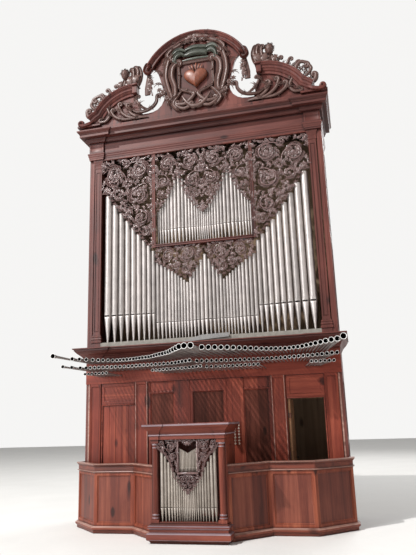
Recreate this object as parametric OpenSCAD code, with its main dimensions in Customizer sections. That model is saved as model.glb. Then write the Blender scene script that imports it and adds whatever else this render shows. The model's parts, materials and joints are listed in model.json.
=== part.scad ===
// Baroque pipe organ on its gallery: a flat-fronted main case with a crowned
// pediment, three rows of horizontal trumpets, a panelled gallery front and a
// small chair case that stands forward in the middle of it.
// Units are millimetres. X runs along the front, Y runs back into the building
// and Z is up. The origin lies on the underside of the gallery, on the centre
// line, in the plane of the case's front.

/* [Main case] */
// Width across the outer faces of the end pilasters
case_w = 4700; // [4300:10:5100]
// Depth from the front to the back board
case_d = 1150; // [1000:10:1500]
// How far the side boards stand outside the pilasters
side_lap = 80; // [60:5:120]
// Thickness of the case's boards
board_t = 45; // [35:1:60]
// Height of the underside of the trumpet board
lower_top = 2550; // [2450:10:2700]
// Height of the trumpet board
trumpet_board_h = 450; // [430:5:560]
// Height of the impost moulding under the pipe front
impost_h = 224; // [180:2:260]
// How far the impost stands forward of the front
impost_out = 295; // [260:5:320]
// How far the impost stands past the case's sides
impost_side_out = 147; // [100:1:200]
// Height of the pipe front's opening
opening_h = 4016; // [3950:2:4300]
// Height of the entablature below the cornice
entablature_h = 380; // [340:5:420]
// Height of the cornice
cornice_h = 220; // [180:5:250]
// How far the cornice stands forward and past the sides
cornice_out = 250; // [180:5:300]

/* [Lower front] */
// Width of the lower pilasters
lower_pilaster_w = 240; // [200:5:260]
// How far the wall between the pilasters lies back
wall_recess = 15; // [8:1:25]
// Clear width of the doorway
door_w = 646; // [600:2:680]
// Height of the doorway above the gallery floor
door_h = 1939; // [1800:5:2100]
// Jamb between the doorway and the pilaster
door_jamb = 30; // [20:1:40]
// Thickness of the door leaf
leaf_t = 35; // [28:1:40]
// Clearance round the door leaf
leaf_gap = 6; // [5:0.5:10]
// Half width of the keydesk's recess
keydesk_half = 345; // [325:5:400]
// Height of the keydesk's recess above the gallery floor
keydesk_h = 1500; // [1450:10:1600]
// Depth of the keydesk's recess
keydesk_d = 420; // [350:5:500]
// Height of the key bed above the gallery floor
key_bed_h = 700; // [650:5:780]
// Width of a keyboard
manual_w = 620; // [560:5:640]
// Number of draw knobs in each column
knobs = 8; // [5:1:9]
// Distance between neighbouring draw knobs
knob_pitch = 52; // [45:1:56]

/* [Pipe front] */
// Width of the upper pilasters
column_w = 186; // [160:2:200]
// Distance from the front's edge to an upper pilaster
column_inset = 22; // [10:1:40]
// Width of the stiles between the bays
stile_w = 68; // [60:1:90]
// Distance of each stile's middle from the centre line
stile_x = 1014; // [980:2:1050]
// Height of the pale toe board
toe_board_h = 120; // [100:2:140]
// Depth of the toe board
toe_board_d = 190; // [170:2:230]
// Distance of the pipes' axes behind the front
pipe_y = 100; // [95:1:120]
// Number of pipes in each side bay
side_pipes = 9; // [7:1:11]
// Height of the side pipes' mouths above the toe board
side_mouth_h = 501; // [450:1:550]
// Length of the longest pipe above its mouth
side_longest = 2572; // [2400:2:2700]
// Length of the shortest side pipe above its mouth
side_shortest = 1289; // [1200:1:1350]
// Number of pipes on each side of the centre pipe
centre_pipes = 14; // [12:1:16]
// Height of the centre pipes' mouths above the toe board
centre_mouth_h = 316; // [280:1:350]
// Length of the middle pipe above its mouth
centre_longest = 1304; // [1200:1:1350]
// Length of the shortest centre pipe above its mouth
centre_shortest = 774; // [700:1:850]
// Length of the centre row's end pipes above their mouths
centre_end = 1215; // [1150:1:1280]
// Height of the upper shelf's top above the toe board
shelf_rise = 1891; // [1850:1:1950]
// Thickness of the upper shelf
shelf_t = 55; // [40:1:70]
// Distance of each upper peak from the centre line
peak_x = 508; // [480:1:530]
// Pipes from an upper peak to the centre line, the middle pipe among them
peak_inner = 9; // [7:1:10]
// Pipes between an upper peak and its stile
peak_outer = 7; // [5:1:8]
// Height of the upper mouths above the shelf
upper_mouth_h = 305; // [260:1:340]
// Length of a peak pipe above its mouth
upper_longest = 1245; // [1150:1:1300]
// Thickness of the carved shades
shade_t = 30; // [20:1:40]
// Gap between the carved shades and the pipes' tops
shade_gap = 40; // [25:1:60]
// How far the case breaks forward over its pilasters
brk = 40; // [25:1:55]

/* [Trumpets] */
// Height of the top row above the trumpet board's lower edge
row_top_h = 390; // [370:1:400]
// Height of the middle row above the trumpet board's lower edge
row_middle_h = 240; // [220:1:260]
// Height of the bottom row above the trumpet board's lower edge
row_bottom_h = 140; // [110:1:150]
// Length of the longest trumpet
longest_trumpet = 1900; // [1750:5:2000]
// Width of a bell on a trumpet of no length
bell_least = 42; // [34:1:50]
// How much wider a bell is for each metre of its trumpet
bell_growth = 34; // [20:1:40]
// Gap between neighbouring bells in the top row
bell_gap = 9; // [5:1:15]
// Gap between neighbouring bells in the middle row
middle_gap = 44; // [20:1:60]
// Gap between neighbouring bells in the bottom row
bottom_gap = 30; // [15:1:45]

/* [Gallery] */
// Thickness of the gallery floor
floor_t = 200; // [160:5:240]
// Height of the parapet's top
rail_h = 1131; // [1050:1:1180]
// Thickness of the parapet
parapet_t = 45; // [35:1:60]
// Reach of the gallery in front of the case
gallery_d = 716; // [650:2:760]
// Distance of the outer corners in from the gallery's ends
outer_corner_in = 585; // [540:1:630]
// Distance of the inner corners from the centre line
inner_corner_x = 1170; // [1120:2:1220]
// Height of the base moulding
base_h = 120; // [100:2:140]
// How far the base moulding stands out
base_out = 45; // [30:1:60]
// Height of the parapet's frieze and rail together
rail_band_h = 146; // [130:1:160]
// How far the rail stands out
rail_out = 40; // [25:1:50]

/* [Chair case] */
// Width of the chair case
chair_w = 1212; // [1150:2:1260]
// Distance of the chair case's front from the main front
chair_front = 1460; // [1420:5:1520]
// Depth of the chair case
chair_d = 760; // [650:5:800]
// Height of the chair case's top
chair_h = 1767; // [1700:1:1850]
// Height of the chair case's plinth
chair_plinth_h = 285; // [260:1:300]
// Height of the chair case's cornice and frieze
chair_cornice_h = 240; // [200:2:280]
// How far the chair case's cornice stands out
chair_cornice_out = 100; // [70:1:120]
// Width of the chair case's pilasters
chair_column_w = 140; // [120:1:150]
// Half width of the small upper compartment
chair_bay_half = 170; // [150:1:190]
// Height of the small compartment's ledge
chair_bay_z = 1030; // [1000:1:1060]
// Pipes on each side of the chair case's middle pipe
chair_pipes_n = 11; // [9:1:13]

/* [Pediment] */
// Height of the board that the pediment stands on
pediment_base_h = 90; // [70:2:120]
// Outer radius of the arched hood
hood_r = 1200; // [1100:5:1240]
// Height of the hood's crown above the cornice
hood_rise = 1910; // [1860:5:1960]
// Width of the hood's moulded edge
hood_band = 130; // [100:2:160]
// Outer radius of the two half pediments
scroll_r = 1000; // [950:5:1050]
// Height of the half pediments above the cornice
scroll_rise = 880; // [850:5:920]
// Width of the half pediments' moulded edge
scroll_band = 215; // [180:5:240]
// Distance of a half pediment's inner end from the centre line
scroll_x = 1330; // [1280:5:1380]

/* [Hidden] */
$fn = 48;

// Colours
wood = "#6b3328";
dark_wood = "#4a2a24";
pale_wood = "#c08a5c";
tin = "#a9a5a3";
toe_grey = "#b3b09c";
heart_red = "#c8502f";
ivory = "#ddd2b8";

// Heights and widths that follow from the sizes above
half = case_w / 2;
body_half = half + side_lap;
board_top = lower_top + trumpet_board_h;
impost_top = board_top + impost_h;
feet_z = impost_top + toe_board_h;
head_z = impost_top + opening_h;
cornice_z = head_z + entablature_h;
roof_z = cornice_z + cornice_h;
pediment_z = roof_z + pediment_base_h;
opening_half = half - column_inset - column_w;
bay_edge = opening_half - 36;
stile_in = stile_x - stile_w / 2;
stile_out = stile_x + stile_w / 2;
shelf_z = feet_z + shelf_rise;
door_in = half - lower_pilaster_w - door_jamb - door_w;
door_out = door_in + door_w;
door_top = floor_t + door_h;
wall_back = wall_recess + board_t;
keydesk_top = floor_t + keydesk_h;
key_z = floor_t + key_bed_h;
chair_half = chair_w / 2;
chair_back = -chair_front + chair_d;
chair_frieze_z = chair_h - chair_cornice_h;
chair_opening = chair_half - chair_column_w;
chair_pipe_y = -chair_front + 62;
chair_wall_t = 30;
gallery_half = body_half + parapet_t;
outer_corner_x = gallery_half - outer_corner_in;
break_x = half - lower_pilaster_w;
return_y = 60;

// Plain helpers

// A block from one corner to the opposite corner
module block(a, b) {
    translate(a) cube(b - a);
}

// The same child on both sides of the centre line
module both_sides() {
    children();
    mirror([1, 0, 0]) children();
}

// An outline drawn in X and Z, given thickness from y to y + t
module upright(y, t) {
    translate([0, y + t, 0]) rotate([90, 0, 0]) linear_extrude(t) children();
}

// Points of an arc about c from angle a to angle b
function arc(c, r, a, b, n = 16) =
    [for (i = [0:n]) c + r * [cos(a + (b - a) * i / n), sin(a + (b - a) * i / n)]];
function reversed(p) = [for (i = [len(p) - 1:-1:0]) p[i]];
function cross2(a, b) = a[0] * b[1] - a[1] * b[0];
// Where the line through p along u meets the line through q along v
function meet(p, u, q, v) = p + u * cross2(q - p, v) / cross2(u, v);
function sum(v, n) = n < 0 ? 0 : v[n] + sum(v, n - 1);
// Length of the trumpet at x on a line through points [share of half width, share of length]
function along(points, x) = longest_trumpet * lookup(x / half, points);

// Mouldings

// A moulding along the front and both sides of a box with its corners mitred.
// The profile is in [outward, up]; front and side reach may differ.
module mitred_moulding(profile, hw, front, back, side_scale = 1) {
    reach = max([for (p = profile) p[0]]) + 1;
    inset = -min([for (p = profile) p[0]]);
    side = reach * side_scale;
    top = max([for (p = profile) p[1]]);
    intersection() {
        translate([-hw - side, front, 0]) rotate([90, 0, 90])
            linear_extrude(2 * (hw + side)) polygon([for (p = profile) [-p[0], p[1]]]);
        translate([0, 0, -1]) linear_extrude(top + 2)
            polygon([[-hw - side, front - reach], [hw + side, front - reach],
                [hw - inset * side_scale, front + inset], [-hw + inset * side_scale, front + inset]]);
    }
    both_sides() intersection() {
        translate([hw, back, 0]) rotate([90, 0, 0])
            linear_extrude(back - front + reach)
            polygon([for (p = profile) [p[0] * side_scale, p[1]]]);
        translate([0, 0, -1]) linear_extrude(top + 2)
            polygon([[hw + side, front - reach], [hw + side, back + 1],
                [hw - inset * side_scale, back + 1], [hw - inset * side_scale, front + inset]]);
    }
}

// The same moulding with its ends, outside x_in, brought forward by brk
module broken_moulding(profile, hw, x_in, back, side_scale = 1) {
    reach = max([for (p = profile) p[0]]) + 1;
    inset = -min([for (p = profile) p[0]]);
    top = max([for (p = profile) p[1]]);
    difference() {
        mitred_moulding(profile, hw, -brk, back, side_scale);
        block([-x_in, -brk - reach, -1], [x_in, inset + 1, top + 1]);
    }
    translate([-x_in, 0, 0]) rotate([90, 0, 90])
        linear_extrude(2 * x_in) polygon([for (p = profile) [-p[0], p[1]]]);
    both_sides() {
        intersection() {
            translate([x_in - reach, -brk, 0]) rotate([90, 0, 90])
                linear_extrude(reach) polygon([for (p = profile) [-p[0], p[1]]]);
            translate([0, 0, -1]) linear_extrude(top + 2)
                polygon([[x_in, -brk], [x_in - reach, -brk - reach], [x_in, -brk - reach]]);
        }
        intersection() {
            translate([x_in, 0, 0]) rotate([90, 0, 0]) linear_extrude(brk + reach)
                polygon([for (p = profile) [-max(p[0], 0), p[1]]]);
            translate([0, 0, -1]) linear_extrude(top + 2)
                polygon([[x_in, -brk], [x_in - reach, -brk - reach], [x_in - reach, 0], [x_in, 0]]);
        }
    }
}

// Plan of the gallery

// Corners of the right half's outer face, from the case's side to the chair case
plan = [[gallery_half, return_y], [gallery_half, -gallery_d + gallery_half - outer_corner_x],
    [outer_corner_x, -gallery_d], [inner_corner_x, -gallery_d],
    [chair_half, -gallery_d - inner_corner_x + chair_half]];
sides = len(plan) - 1;
function side_dir(i) = (plan[i + 1] - plan[i]) / norm(plan[i + 1] - plan[i]);
function side_point(i, d) = plan[i] + [-side_dir(i)[1], side_dir(i)[0]] * d;
// Corner i of the plan moved outwards by d, its ends kept on the case and the chair case
function corner(i, d) =
    i == 0 ? meet([0, return_y], [1, 0], side_point(0, d), side_dir(0)) :
    i == sides ? meet([chair_half, 0], [0, 1], side_point(sides - 1, d), side_dir(sides - 1)) :
    meet(side_point(i - 1, d), side_dir(i - 1), side_point(i, d), side_dir(i));
function plan_line(d) = [for (i = [0:sides]) corner(i, d)];

// A strip of the plan between two offsets, on sides first to last
module strip(first, last, d_in, d_out, z0, z1) {
    outer = [for (i = [first:last + 1]) corner(i, d_out)];
    inner = [for (i = [first:last + 1]) corner(i, d_in)];
    translate([0, 0, z0]) linear_extrude(z1 - z0) polygon(concat(outer, reversed(inner)));
}

// One panel of the parapet with its sunk field
module parapet_panel(i) {
    field_edge = 75;
    field_depth = 14;
    z0 = base_h;
    z1 = rail_h - rail_band_h;
    a = corner(i, 0);
    length = norm(corner(i + 1, 0) - a);
    angle = atan2(side_dir(i)[1], side_dir(i)[0]);
    difference() {
        strip(i, i, -parapet_t, 0, z0, z1);
        translate([a[0], a[1], 0]) rotate([0, 0, angle])
            translate([field_edge, -field_depth, z0 + field_edge])
            cube([length - 2 * field_edge, 2 * field_depth, z1 - z0 - 2 * field_edge]);
    }
}

module gallery_floor() {
    right = plan_line(-parapet_t);
    notch = [[chair_half, chair_back], [-chair_half, chair_back]];
    left = reversed([for (p = right) [-p[0], p[1]]]);
    color(dark_wood) linear_extrude(floor_t)
        polygon(concat([[gallery_half - parapet_t, case_d]], right, notch, left,
            [[-gallery_half + parapet_t, case_d]]));
}

module gallery_base_moulding() {
    color(wood) both_sides() {
        strip(0, sides - 1, -parapet_t, base_out * 0.35, 0, base_h * 0.45);
        strip(0, sides - 1, -parapet_t, base_out, base_h * 0.45, base_h * 0.85);
        strip(0, sides - 1, -parapet_t, base_out * 0.5, base_h * 0.85, base_h);
    }
}

module end_panels() {
    color(wood) both_sides() {
        parapet_panel(1);
        strip(0, 0, -parapet_t, 0, base_h, rail_h - rail_band_h);
    }
}

module front_panels() {
    color(wood) both_sides() parapet_panel(2);
}

module canted_panels() {
    color(wood) both_sides() parapet_panel(3);
}

module gallery_rail() {
    z = rail_h - rail_band_h;
    color(wood) both_sides() {
        strip(0, sides - 1, -parapet_t, rail_out * 0.6, z, z + 20);
        strip(0, sides - 1, -parapet_t, rail_out * 0.25, z + 20, rail_h - 50);
        strip(0, sides - 1, -parapet_t, rail_out * 0.65, rail_h - 50, rail_h - 26);
        strip(0, sides - 1, -parapet_t, rail_out, rail_h - 26, rail_h);
    }
}

// Chair case

// One course of the plinth: full width where it stands proud, case width behind
module plinth_course(out, z0, z1) {
    run_y = corner(sides, base_out)[1] - 1;
    block([-chair_half - out, -chair_front - out, z0], [chair_half + out, run_y, z1]);
    block([-chair_half, run_y, z0], [chair_half, chair_back, z1]);
}

module chair_plinth() {
    toe_t = 25;
    color(wood) difference() {
        union() {
            plinth_course(0, 0, 60);
            plinth_course(55, 60, 140);
            plinth_course(15, 140, 210);
            plinth_course(40, 210, 250);
            plinth_course(12, 250, chair_plinth_h);
            block([-chair_opening, -chair_front + 10, chair_plinth_h],
                [chair_opening, -chair_front + 130, chair_plinth_h + toe_t]);
        }
        block([-chair_half + 40, -chair_front + 150, 60],
            [chair_half - 40, chair_back - 40, chair_plinth_h + 1]);
    }
}

module chair_walls() {
    color(wood) {
        both_sides() block([chair_half - chair_wall_t, -chair_front + 120, chair_plinth_h],
            [chair_half, chair_back, chair_frieze_z]);
        block([-chair_half + chair_wall_t + 1, chair_back - chair_wall_t, chair_plinth_h],
            [chair_half - chair_wall_t - 1, chair_back, chair_frieze_z]);
    }
}

// A pilaster with two reeds, stacked base rings and a ringed capital
module pilaster(w, d, z0, z1, base, cap, proud) {
    block([-w / 2, 0, z0], [w / 2, d, z0 + base * 0.3]);
    for (i = [0:2]) {
        s = proud * (1 - i * 0.3);
        ring_z = z0 + base * (0.3 + 0.2 * i);
        block([-w / 2 - s, -s, ring_z], [w / 2 + s, d, ring_z + base * 0.12]);
        block([-w / 2, 0, ring_z + base * 0.12], [w / 2, d, ring_z + base * 0.2]);
    }
    block([-w / 2 + 8, 8, z0 + base * 0.9], [w / 2 - 8, d, z1 - cap]);
    for (s = [-1, 1])
        translate([s * w * 0.2, 16, z0 + base * 0.9]) cylinder(h = z1 - cap - z0 - base * 0.9, r = w * 0.15);
    block([-w / 2, 0, z1 - cap], [w / 2, d, z1]);
    block([-w / 2 - proud * 0.6, -proud * 0.6, z1 - cap], [w / 2 + proud * 0.6, d, z1 - cap * 0.86]);
    block([-w / 2 - proud * 0.8, -proud * 0.8, z1 - cap * 0.2], [w / 2 + proud * 0.8, d, z1]);
}

module chair_columns() {
    color(wood) both_sides()
        translate([chair_half - chair_column_w / 2, -chair_front + 14, 0])
        pilaster(chair_column_w - 24, 106, chair_plinth_h, chair_frieze_z, 90, 90, 12);
}

// Flue pipes

pipe_fill = 0.9;
foot_tip = 0.22;

// One flue pipe: a tapered foot up to its mouth and a round body above
module pipe(d, foot, body) {
    cylinder(h = foot, r1 = d * foot_tip / 2 + 3, r2 = d / 2);
    translate([0, 0, foot]) cylinder(h = body, r = d / 2);
}

// A row of pipes. widths[i] is the space that pipe i takes, bodies[i] its length
// above the mouth, and the row runs from x0 in the direction dir.
module pipe_row(widths, bodies, foot, x0, dir, y, z) {
    for (i = [0:len(widths) - 1])
        translate([x0 + dir * (sum(widths, i - 1) + widths[i] / 2), y, z])
            pipe(widths[i] * pipe_fill, foot, bodies[i]);
}

// Sizes that shrink by a constant ratio from first to last over n steps
function falling(first, last, n) = [for (i = [0:n - 1]) first * pow(last / first, i / (n - 1))];
// Widths in proportion to a list of weights, filling a total
function shares(weights, total) = [for (w = weights) w * total / sum(weights, len(weights) - 1)];

side_widths = shares([for (i = [0:side_pipes - 1]) pow(0.94, i)], bay_edge - stile_x);
side_bodies = falling(side_longest, side_shortest, side_pipes);

module side_row(dir) {
    color(tin) pipe_row(side_widths, side_bodies, side_mouth_h, dir * bay_edge, -dir, pipe_y, feet_z);
}

module pipes_left() {
    side_row(-1);
}

module pipes_right() {
    side_row(1);
}

// Pipe number, counted from the centre, at which the centre row is lowest
centre_low = round(centre_pipes * 0.36);
centre_slim = centre_pipes / 2;
centre_weights = [for (i = [0:centre_pipes]) pow(1.06, abs(i - centre_slim)) * (i == 0 ? 0.5 : 1)];
centre_widths = shares(centre_weights, stile_x);
function centre_body(i) = i <= centre_low ?
    centre_longest + (centre_shortest - centre_longest) * i / centre_low :
    centre_shortest + (centre_end - centre_shortest) * (i - centre_low) / (centre_pipes - centre_low);

module pipes_centre() {
    middle_w = 2 * centre_widths[0];
    color(tin) {
        translate([0, pipe_y, feet_z]) pipe(middle_w * pipe_fill, centre_mouth_h, centre_body(0));
        for (s = [-1, 1])
            pipe_row([for (i = [1:centre_pipes]) centre_widths[i]],
                [for (i = [1:centre_pipes]) centre_body(i)], centre_mouth_h,
                s * centre_widths[0], s, pipe_y, feet_z);
    }
}

// Upper mitres: the peak pipe is k = 0 and pipes shrink away from it on both sides
upper_ratio = 0.92;
upper_fall = 0.855;
function upper_weights(n, last) = [for (k = [0:n]) pow(upper_ratio, k) * (k == 0 ? 0.5 : k == n ? last : 1)];
inner_widths = shares(upper_weights(peak_inner, 0.5), peak_x);
outer_widths = shares(upper_weights(peak_outer, 1), stile_in - peak_x - 6);
function upper_body(k) = upper_longest * pow(upper_fall, k);

module pipes_upper() {
    peak_d = min(2 * inner_widths[0], 2 * outer_widths[0]) * pipe_fill;
    middle_d = 2 * inner_widths[peak_inner] * pipe_fill;
    color(tin) translate([0, pipe_y, shelf_z]) pipe(middle_d, upper_mouth_h, upper_body(peak_inner));
    color(tin) both_sides() {
        translate([peak_x, pipe_y, shelf_z]) pipe(peak_d, upper_mouth_h, upper_body(0));
        pipe_row([for (k = [1:peak_inner - 1]) inner_widths[k]], [for (k = [1:peak_inner - 1]) upper_body(k)],
            upper_mouth_h, peak_x - inner_widths[0], -1, pipe_y, shelf_z);
        pipe_row([for (k = [1:peak_outer]) outer_widths[k]], [for (k = [1:peak_outer]) upper_body(k)],
            upper_mouth_h, peak_x + outer_widths[0], 1, pipe_y, shelf_z);
    }
}

// Chair case pipes
chair_foot = 190;
chair_weights = [for (i = [0:chair_pipes_n]) pow(0.92, i) * (i == chair_pipes_n ? 0.5 : 1)];
chair_row_widths = shares(chair_weights, chair_opening - 8);
chair_bodies = falling(880, 215, chair_pipes_n + 1);
small_pipes = 13;
small_w = 2 * (chair_bay_half - 22) / small_pipes;
small_foot = 120;

module chair_pipes() {
    edge = chair_opening - 8;
    foot_z = chair_plinth_h + 25;
    middle_w = 2 * chair_row_widths[chair_pipes_n];
    color(tin) {
        for (s = [-1, 1])
            pipe_row([for (i = [0:chair_pipes_n - 1]) chair_row_widths[i]], chair_bodies, chair_foot,
                s * edge, -s, chair_pipe_y, foot_z);
        translate([0, chair_pipe_y, foot_z])
            pipe(middle_w * pipe_fill, chair_foot, chair_bodies[chair_pipes_n]);
        for (i = [0:small_pipes - 1])
            translate([(i - (small_pipes - 1) / 2) * small_w, chair_pipe_y, chair_bay_z])
                pipe(small_w * pipe_fill, small_foot, 215 + 12 * abs(i - (small_pipes - 1) / 2));
    }
}

// Frame of the small compartment, its carved wings and the carving below it
module chair_carving() {
    frame_w = 22;
    y0 = -chair_front + 22;
    ledge_t = 30;
    top = chair_frieze_z;
    apex_z = 715;
    color(dark_wood) {
        both_sides() {
            block([chair_bay_half - frame_w, y0, chair_bay_z], [chair_bay_half, y0 + 90, top]);
            upright(y0, 20) polygon([[chair_bay_half, chair_bay_z + 20], [chair_bay_half, top],
                [chair_opening - 4, top], [chair_opening - 8, top - 90], [chair_opening - 70, top - 130],
                [chair_bay_half + 90, top - 290]]);
        }
        block([-chair_bay_half, y0 - 10, chair_bay_z - ledge_t], [chair_bay_half, y0 + 90, chair_bay_z]);
        upright(y0, 18) polygon([[-chair_bay_half, chair_bay_z - ledge_t],
            [chair_bay_half, chair_bay_z - ledge_t],
            [chair_bay_half * 0.55, (chair_bay_z + apex_z) / 2 - 20], [0, apex_z],
            [-chair_bay_half * 0.55, (chair_bay_z + apex_z) / 2 - 20]]);
        upright(y0, 18)
            polygon([[-chair_bay_half + frame_w, top], [chair_bay_half - frame_w, top], [0, top - 95]]);
    }
}

chair_lap = 60;
chair_steps = [[0.06, 0], [0.06, 0.25], [0.22, 0.275], [0.22, 0.35], [0.12, 0.375], [0.24, 0.42],
    [0.52, 0.63], [0.88, 0.85], [1, 0.9]];
chair_profile = concat([[-chair_lap, 0]],
    [for (p = chair_steps) [p[0] * chair_cornice_out, p[1] * chair_cornice_h]],
    [[chair_cornice_out, chair_cornice_h], [-chair_lap, chair_cornice_h]]);

module chair_cornice() {
    roof_t = 25;
    inner = chair_lap - 5;
    color(wood) {
        translate([0, 0, chair_frieze_z])
            mitred_moulding(chair_profile, chair_half, -chair_front, chair_back);
        block([-chair_half + inner, -chair_front + inner, chair_h - roof_t],
            [chair_half - inner, chair_back, chair_h]);
    }
}

// Main case, lower part

module case_side(s) {
    x0 = s > 0 ? body_half - board_t : -body_half;
    color(wood) block([x0, wall_recess, floor_t], [x0 + board_t, case_d, cornice_z]);
}

module case_side_left() {
    case_side(-1);
}

module case_side_right() {
    case_side(1);
}

module case_back() {
    back_t = 30;
    color(wood) block([-body_half + board_t, case_d - back_t, floor_t],
        [body_half - board_t, case_d, cornice_z]);
}

// The roof board lies on the case's boards, inside the cornice
module case_roof() {
    roof_t = 30;
    color(wood) block([-body_half + cornice_lap, cornice_lap, cornice_z],
        [body_half - cornice_lap, case_d, cornice_z + roof_t]);
}

module lower_pilasters() {
    edge = 26;
    sunk = 10;
    color(wood) both_sides() difference() {
        block([half - lower_pilaster_w, 0, floor_t], [half, wall_back, lower_top]);
        block([half - lower_pilaster_w + edge, -1, floor_t + 120], [half - edge, sunk, lower_top - edge * 2]);
    }
    color(wood) both_sides() block([half, wall_recess, floor_t], [body_half - board_t, wall_back, lower_top]);
}

// A stretch of the lower wall with a sunk panel in it
module wall_with_panel(x0, x1, p0, p1) {
    panel_depth = 12;
    panel_foot = 110;
    panel_head = 220;
    difference() {
        block([x0, wall_recess, floor_t], [x1, wall_back, lower_top]);
        block([p0, wall_recess - 1, floor_t + panel_foot],
            [p1, wall_recess + panel_depth, lower_top - panel_head]);
    }
}

panel_in = 667;
panel_out = 1119;

module front_left_wall() {
    color(wood) mirror([1, 0, 0]) wall_with_panel(keydesk_half, door_in, panel_in, panel_out);
}

// Hinges: three barrels behind the wall at the doorway's inner jamb
pin_r = 4;
barrel_r = 9;
pin_clear = 0.3;
pin_x = door_in;
pin_y = wall_back + barrel_r + 1;
hinge_h = 60;
hinge_z = [floor_t + 260, floor_t + door_h / 2, door_top - 260];
plate_t = 4;

module front_right_wall() {
    color(wood) wall_with_panel(keydesk_half, door_in, panel_in, panel_out);
    color("#3a3634") for (z = hinge_z) {
        block([pin_x - 50, wall_back, z - hinge_h], [pin_x - barrel_r + 3, wall_back + plate_t, z]);
        difference() {
            union() {
                translate([pin_x, pin_y, z - hinge_h]) cylinder(h = hinge_h, r = barrel_r);
                block([pin_x - barrel_r, wall_back, z - hinge_h], [pin_x, pin_y, z]);
            }
            block([pin_x - barrel_r * 2, 0, z - hinge_h - 1], [pin_x + barrel_r * 2, wall_back, z + 1]);
        }
        translate([pin_x, pin_y, z - 1]) cylinder(h = hinge_h * 0.8 + 1, r = pin_r);
    }
}

// The leaf stands open at a right angle into the case; closed, it fills the doorway
module door_leaf() {
    x0 = pin_x + leaf_gap;
    x1 = x0 + leaf_t;
    y0 = pin_y + barrel_r + 1;
    y1 = pin_y + door_w - leaf_gap;
    z0 = floor_t + leaf_gap;
    z1 = door_top - leaf_gap;
    rail = 90;
    sunk = 8;
    color(pale_wood) difference() {
        block([x0, y0, z0], [x1, y1, z1]);
        for (z = [z0 + rail, (z0 + z1) / 2 + rail / 2])
            block([x1 - sunk, y0 + rail, z], [x1 + 1, y1 - rail, z + (z1 - z0) / 2 - rail * 1.5]);
    }
    color("#3a3634") for (z = hinge_z) {
        difference() {
            union() {
                translate([pin_x, pin_y, z + 1]) cylinder(h = hinge_h - 1, r = barrel_r);
                block([pin_x, pin_y, z + 1], [x0 + plate_t, pin_y + barrel_r, z + hinge_h]);
            }
            translate([pin_x, pin_y, z]) cylinder(h = hinge_h + 1, r = pin_r + pin_clear);
        }
        block([x0 - plate_t, pin_y + barrel_r - 2, z + 1], [x0, y0 + 70, z + hinge_h]);
    }
}

// The matching door on the left, shut in its frame
module closed_door() {
    sunk = 8;
    rail = 90;
    gap = 2;
    color(wood) mirror([1, 0, 0]) difference() {
        block([door_in, wall_recess + 12, floor_t], [door_out, wall_back, door_top - gap]);
        for (z = [floor_t + rail, (floor_t + door_top) / 2 + rail / 2])
            block([door_in + rail, wall_recess, z],
                [door_out - rail, wall_recess + 12 + sunk, z + door_h / 2 - rail * 1.5]);
    }
}

module door_heads() {
    color(wood) both_sides() {
        block([door_in, wall_recess, door_top], [half - lower_pilaster_w, wall_back, lower_top]);
        block([door_out, wall_recess, floor_t], [half - lower_pilaster_w, wall_back, door_top]);
    }
}

// The board over the keydesk, with one sunk field
module keydesk_head() {
    edge = 60;
    field_depth = 12;
    color(wood) difference() {
        block([-keydesk_half, wall_recess, keydesk_top], [keydesk_half, wall_back, lower_top]);
        block([-keydesk_half + edge, wall_recess - 1, keydesk_top + edge],
            [keydesk_half - edge, wall_recess + field_depth, lower_top - edge * 3.5]);
    }
}

// The recess of the keydesk with its key bed, cheeks and music desk
module key_desk() {
    cheek = 25;
    bed_t = 40;
    y1 = wall_back + keydesk_d;
    desk_z = key_z + 380;
    color(dark_wood) {
        both_sides() block([keydesk_half - cheek, wall_recess, floor_t], [keydesk_half, y1, keydesk_top]);
        block([-keydesk_half + cheek, y1 - cheek, floor_t], [keydesk_half - cheek, y1, keydesk_top]);
        block([-keydesk_half + cheek, wall_recess, keydesk_top - cheek],
            [keydesk_half - cheek, y1 - cheek, keydesk_top]);
        block([-keydesk_half + cheek, wall_recess - 60, key_z - bed_t],
            [keydesk_half - cheek, y1 - cheek, key_z]);
        translate([0, wall_back + 90, desk_z]) rotate([-16, 0, 0]) {
            block([-keydesk_half + cheek, 0, 0], [keydesk_half - cheek, 18, 300]);
            block([-keydesk_half + cheek, -45, 0], [keydesk_half - cheek, 0, 15]);
        }
    }
}

module manuals() {
    key_l = 120;
    step_up = 62;
    t = 22;
    y0 = wall_recess - 40;
    color(ivory) for (i = [0:1]) {
        z = key_z + i * step_up;
        y = y0 + i * key_l;
        block([-manual_w / 2, y, z + (i == 0 ? 0 : step_up - step_up)], [manual_w / 2, y + key_l - 2, z + t]);
        if (i == 1) block([-manual_w / 2, y + 4, key_z], [manual_w / 2, y + key_l - 2, z]);
    }
}

// Two columns of draw knobs on each jamb of the keydesk
module stop_knobs() {
    shank = knob_pitch * 0.86;
    low = key_z + knob_pitch * 9.4;
    color(ivory) both_sides() for (c = [1, 2]) for (i = [0:knobs - 1])
        translate([keydesk_half + (c + 2) * knob_pitch * 1.35, wall_recess, low + i * knob_pitch])
            rotate([90, 0, 0]) {
            cylinder(h = shank, r = knob_pitch * 0.12);
            translate([0, 0, shank]) cylinder(h = knob_pitch * 0.17, r = knob_pitch * 0.29);
        }
}

module trumpet_board() {
    color(wood) block([-body_half + board_t, 0, lower_top], [body_half - board_t, board_t, board_top]);
    color(wood) both_sides() block([body_half - board_t, 0, lower_top], [body_half, wall_recess, board_top]);
}

impost_steps = [[0.04, 0], [0.06, 0.09], [0.14, 0.15], [0.33, 0.31], [0.58, 0.58], [0.79, 0.76],
    [0.87, 0.83], [0.87, 0.89], [1, 0.89]];
impost_profile = concat([[-board_t, 0]], [for (p = impost_steps) [p[0] * impost_out, p[1] * impost_h]],
    [[impost_out, impost_h], [-board_t, impost_h]]);

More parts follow.
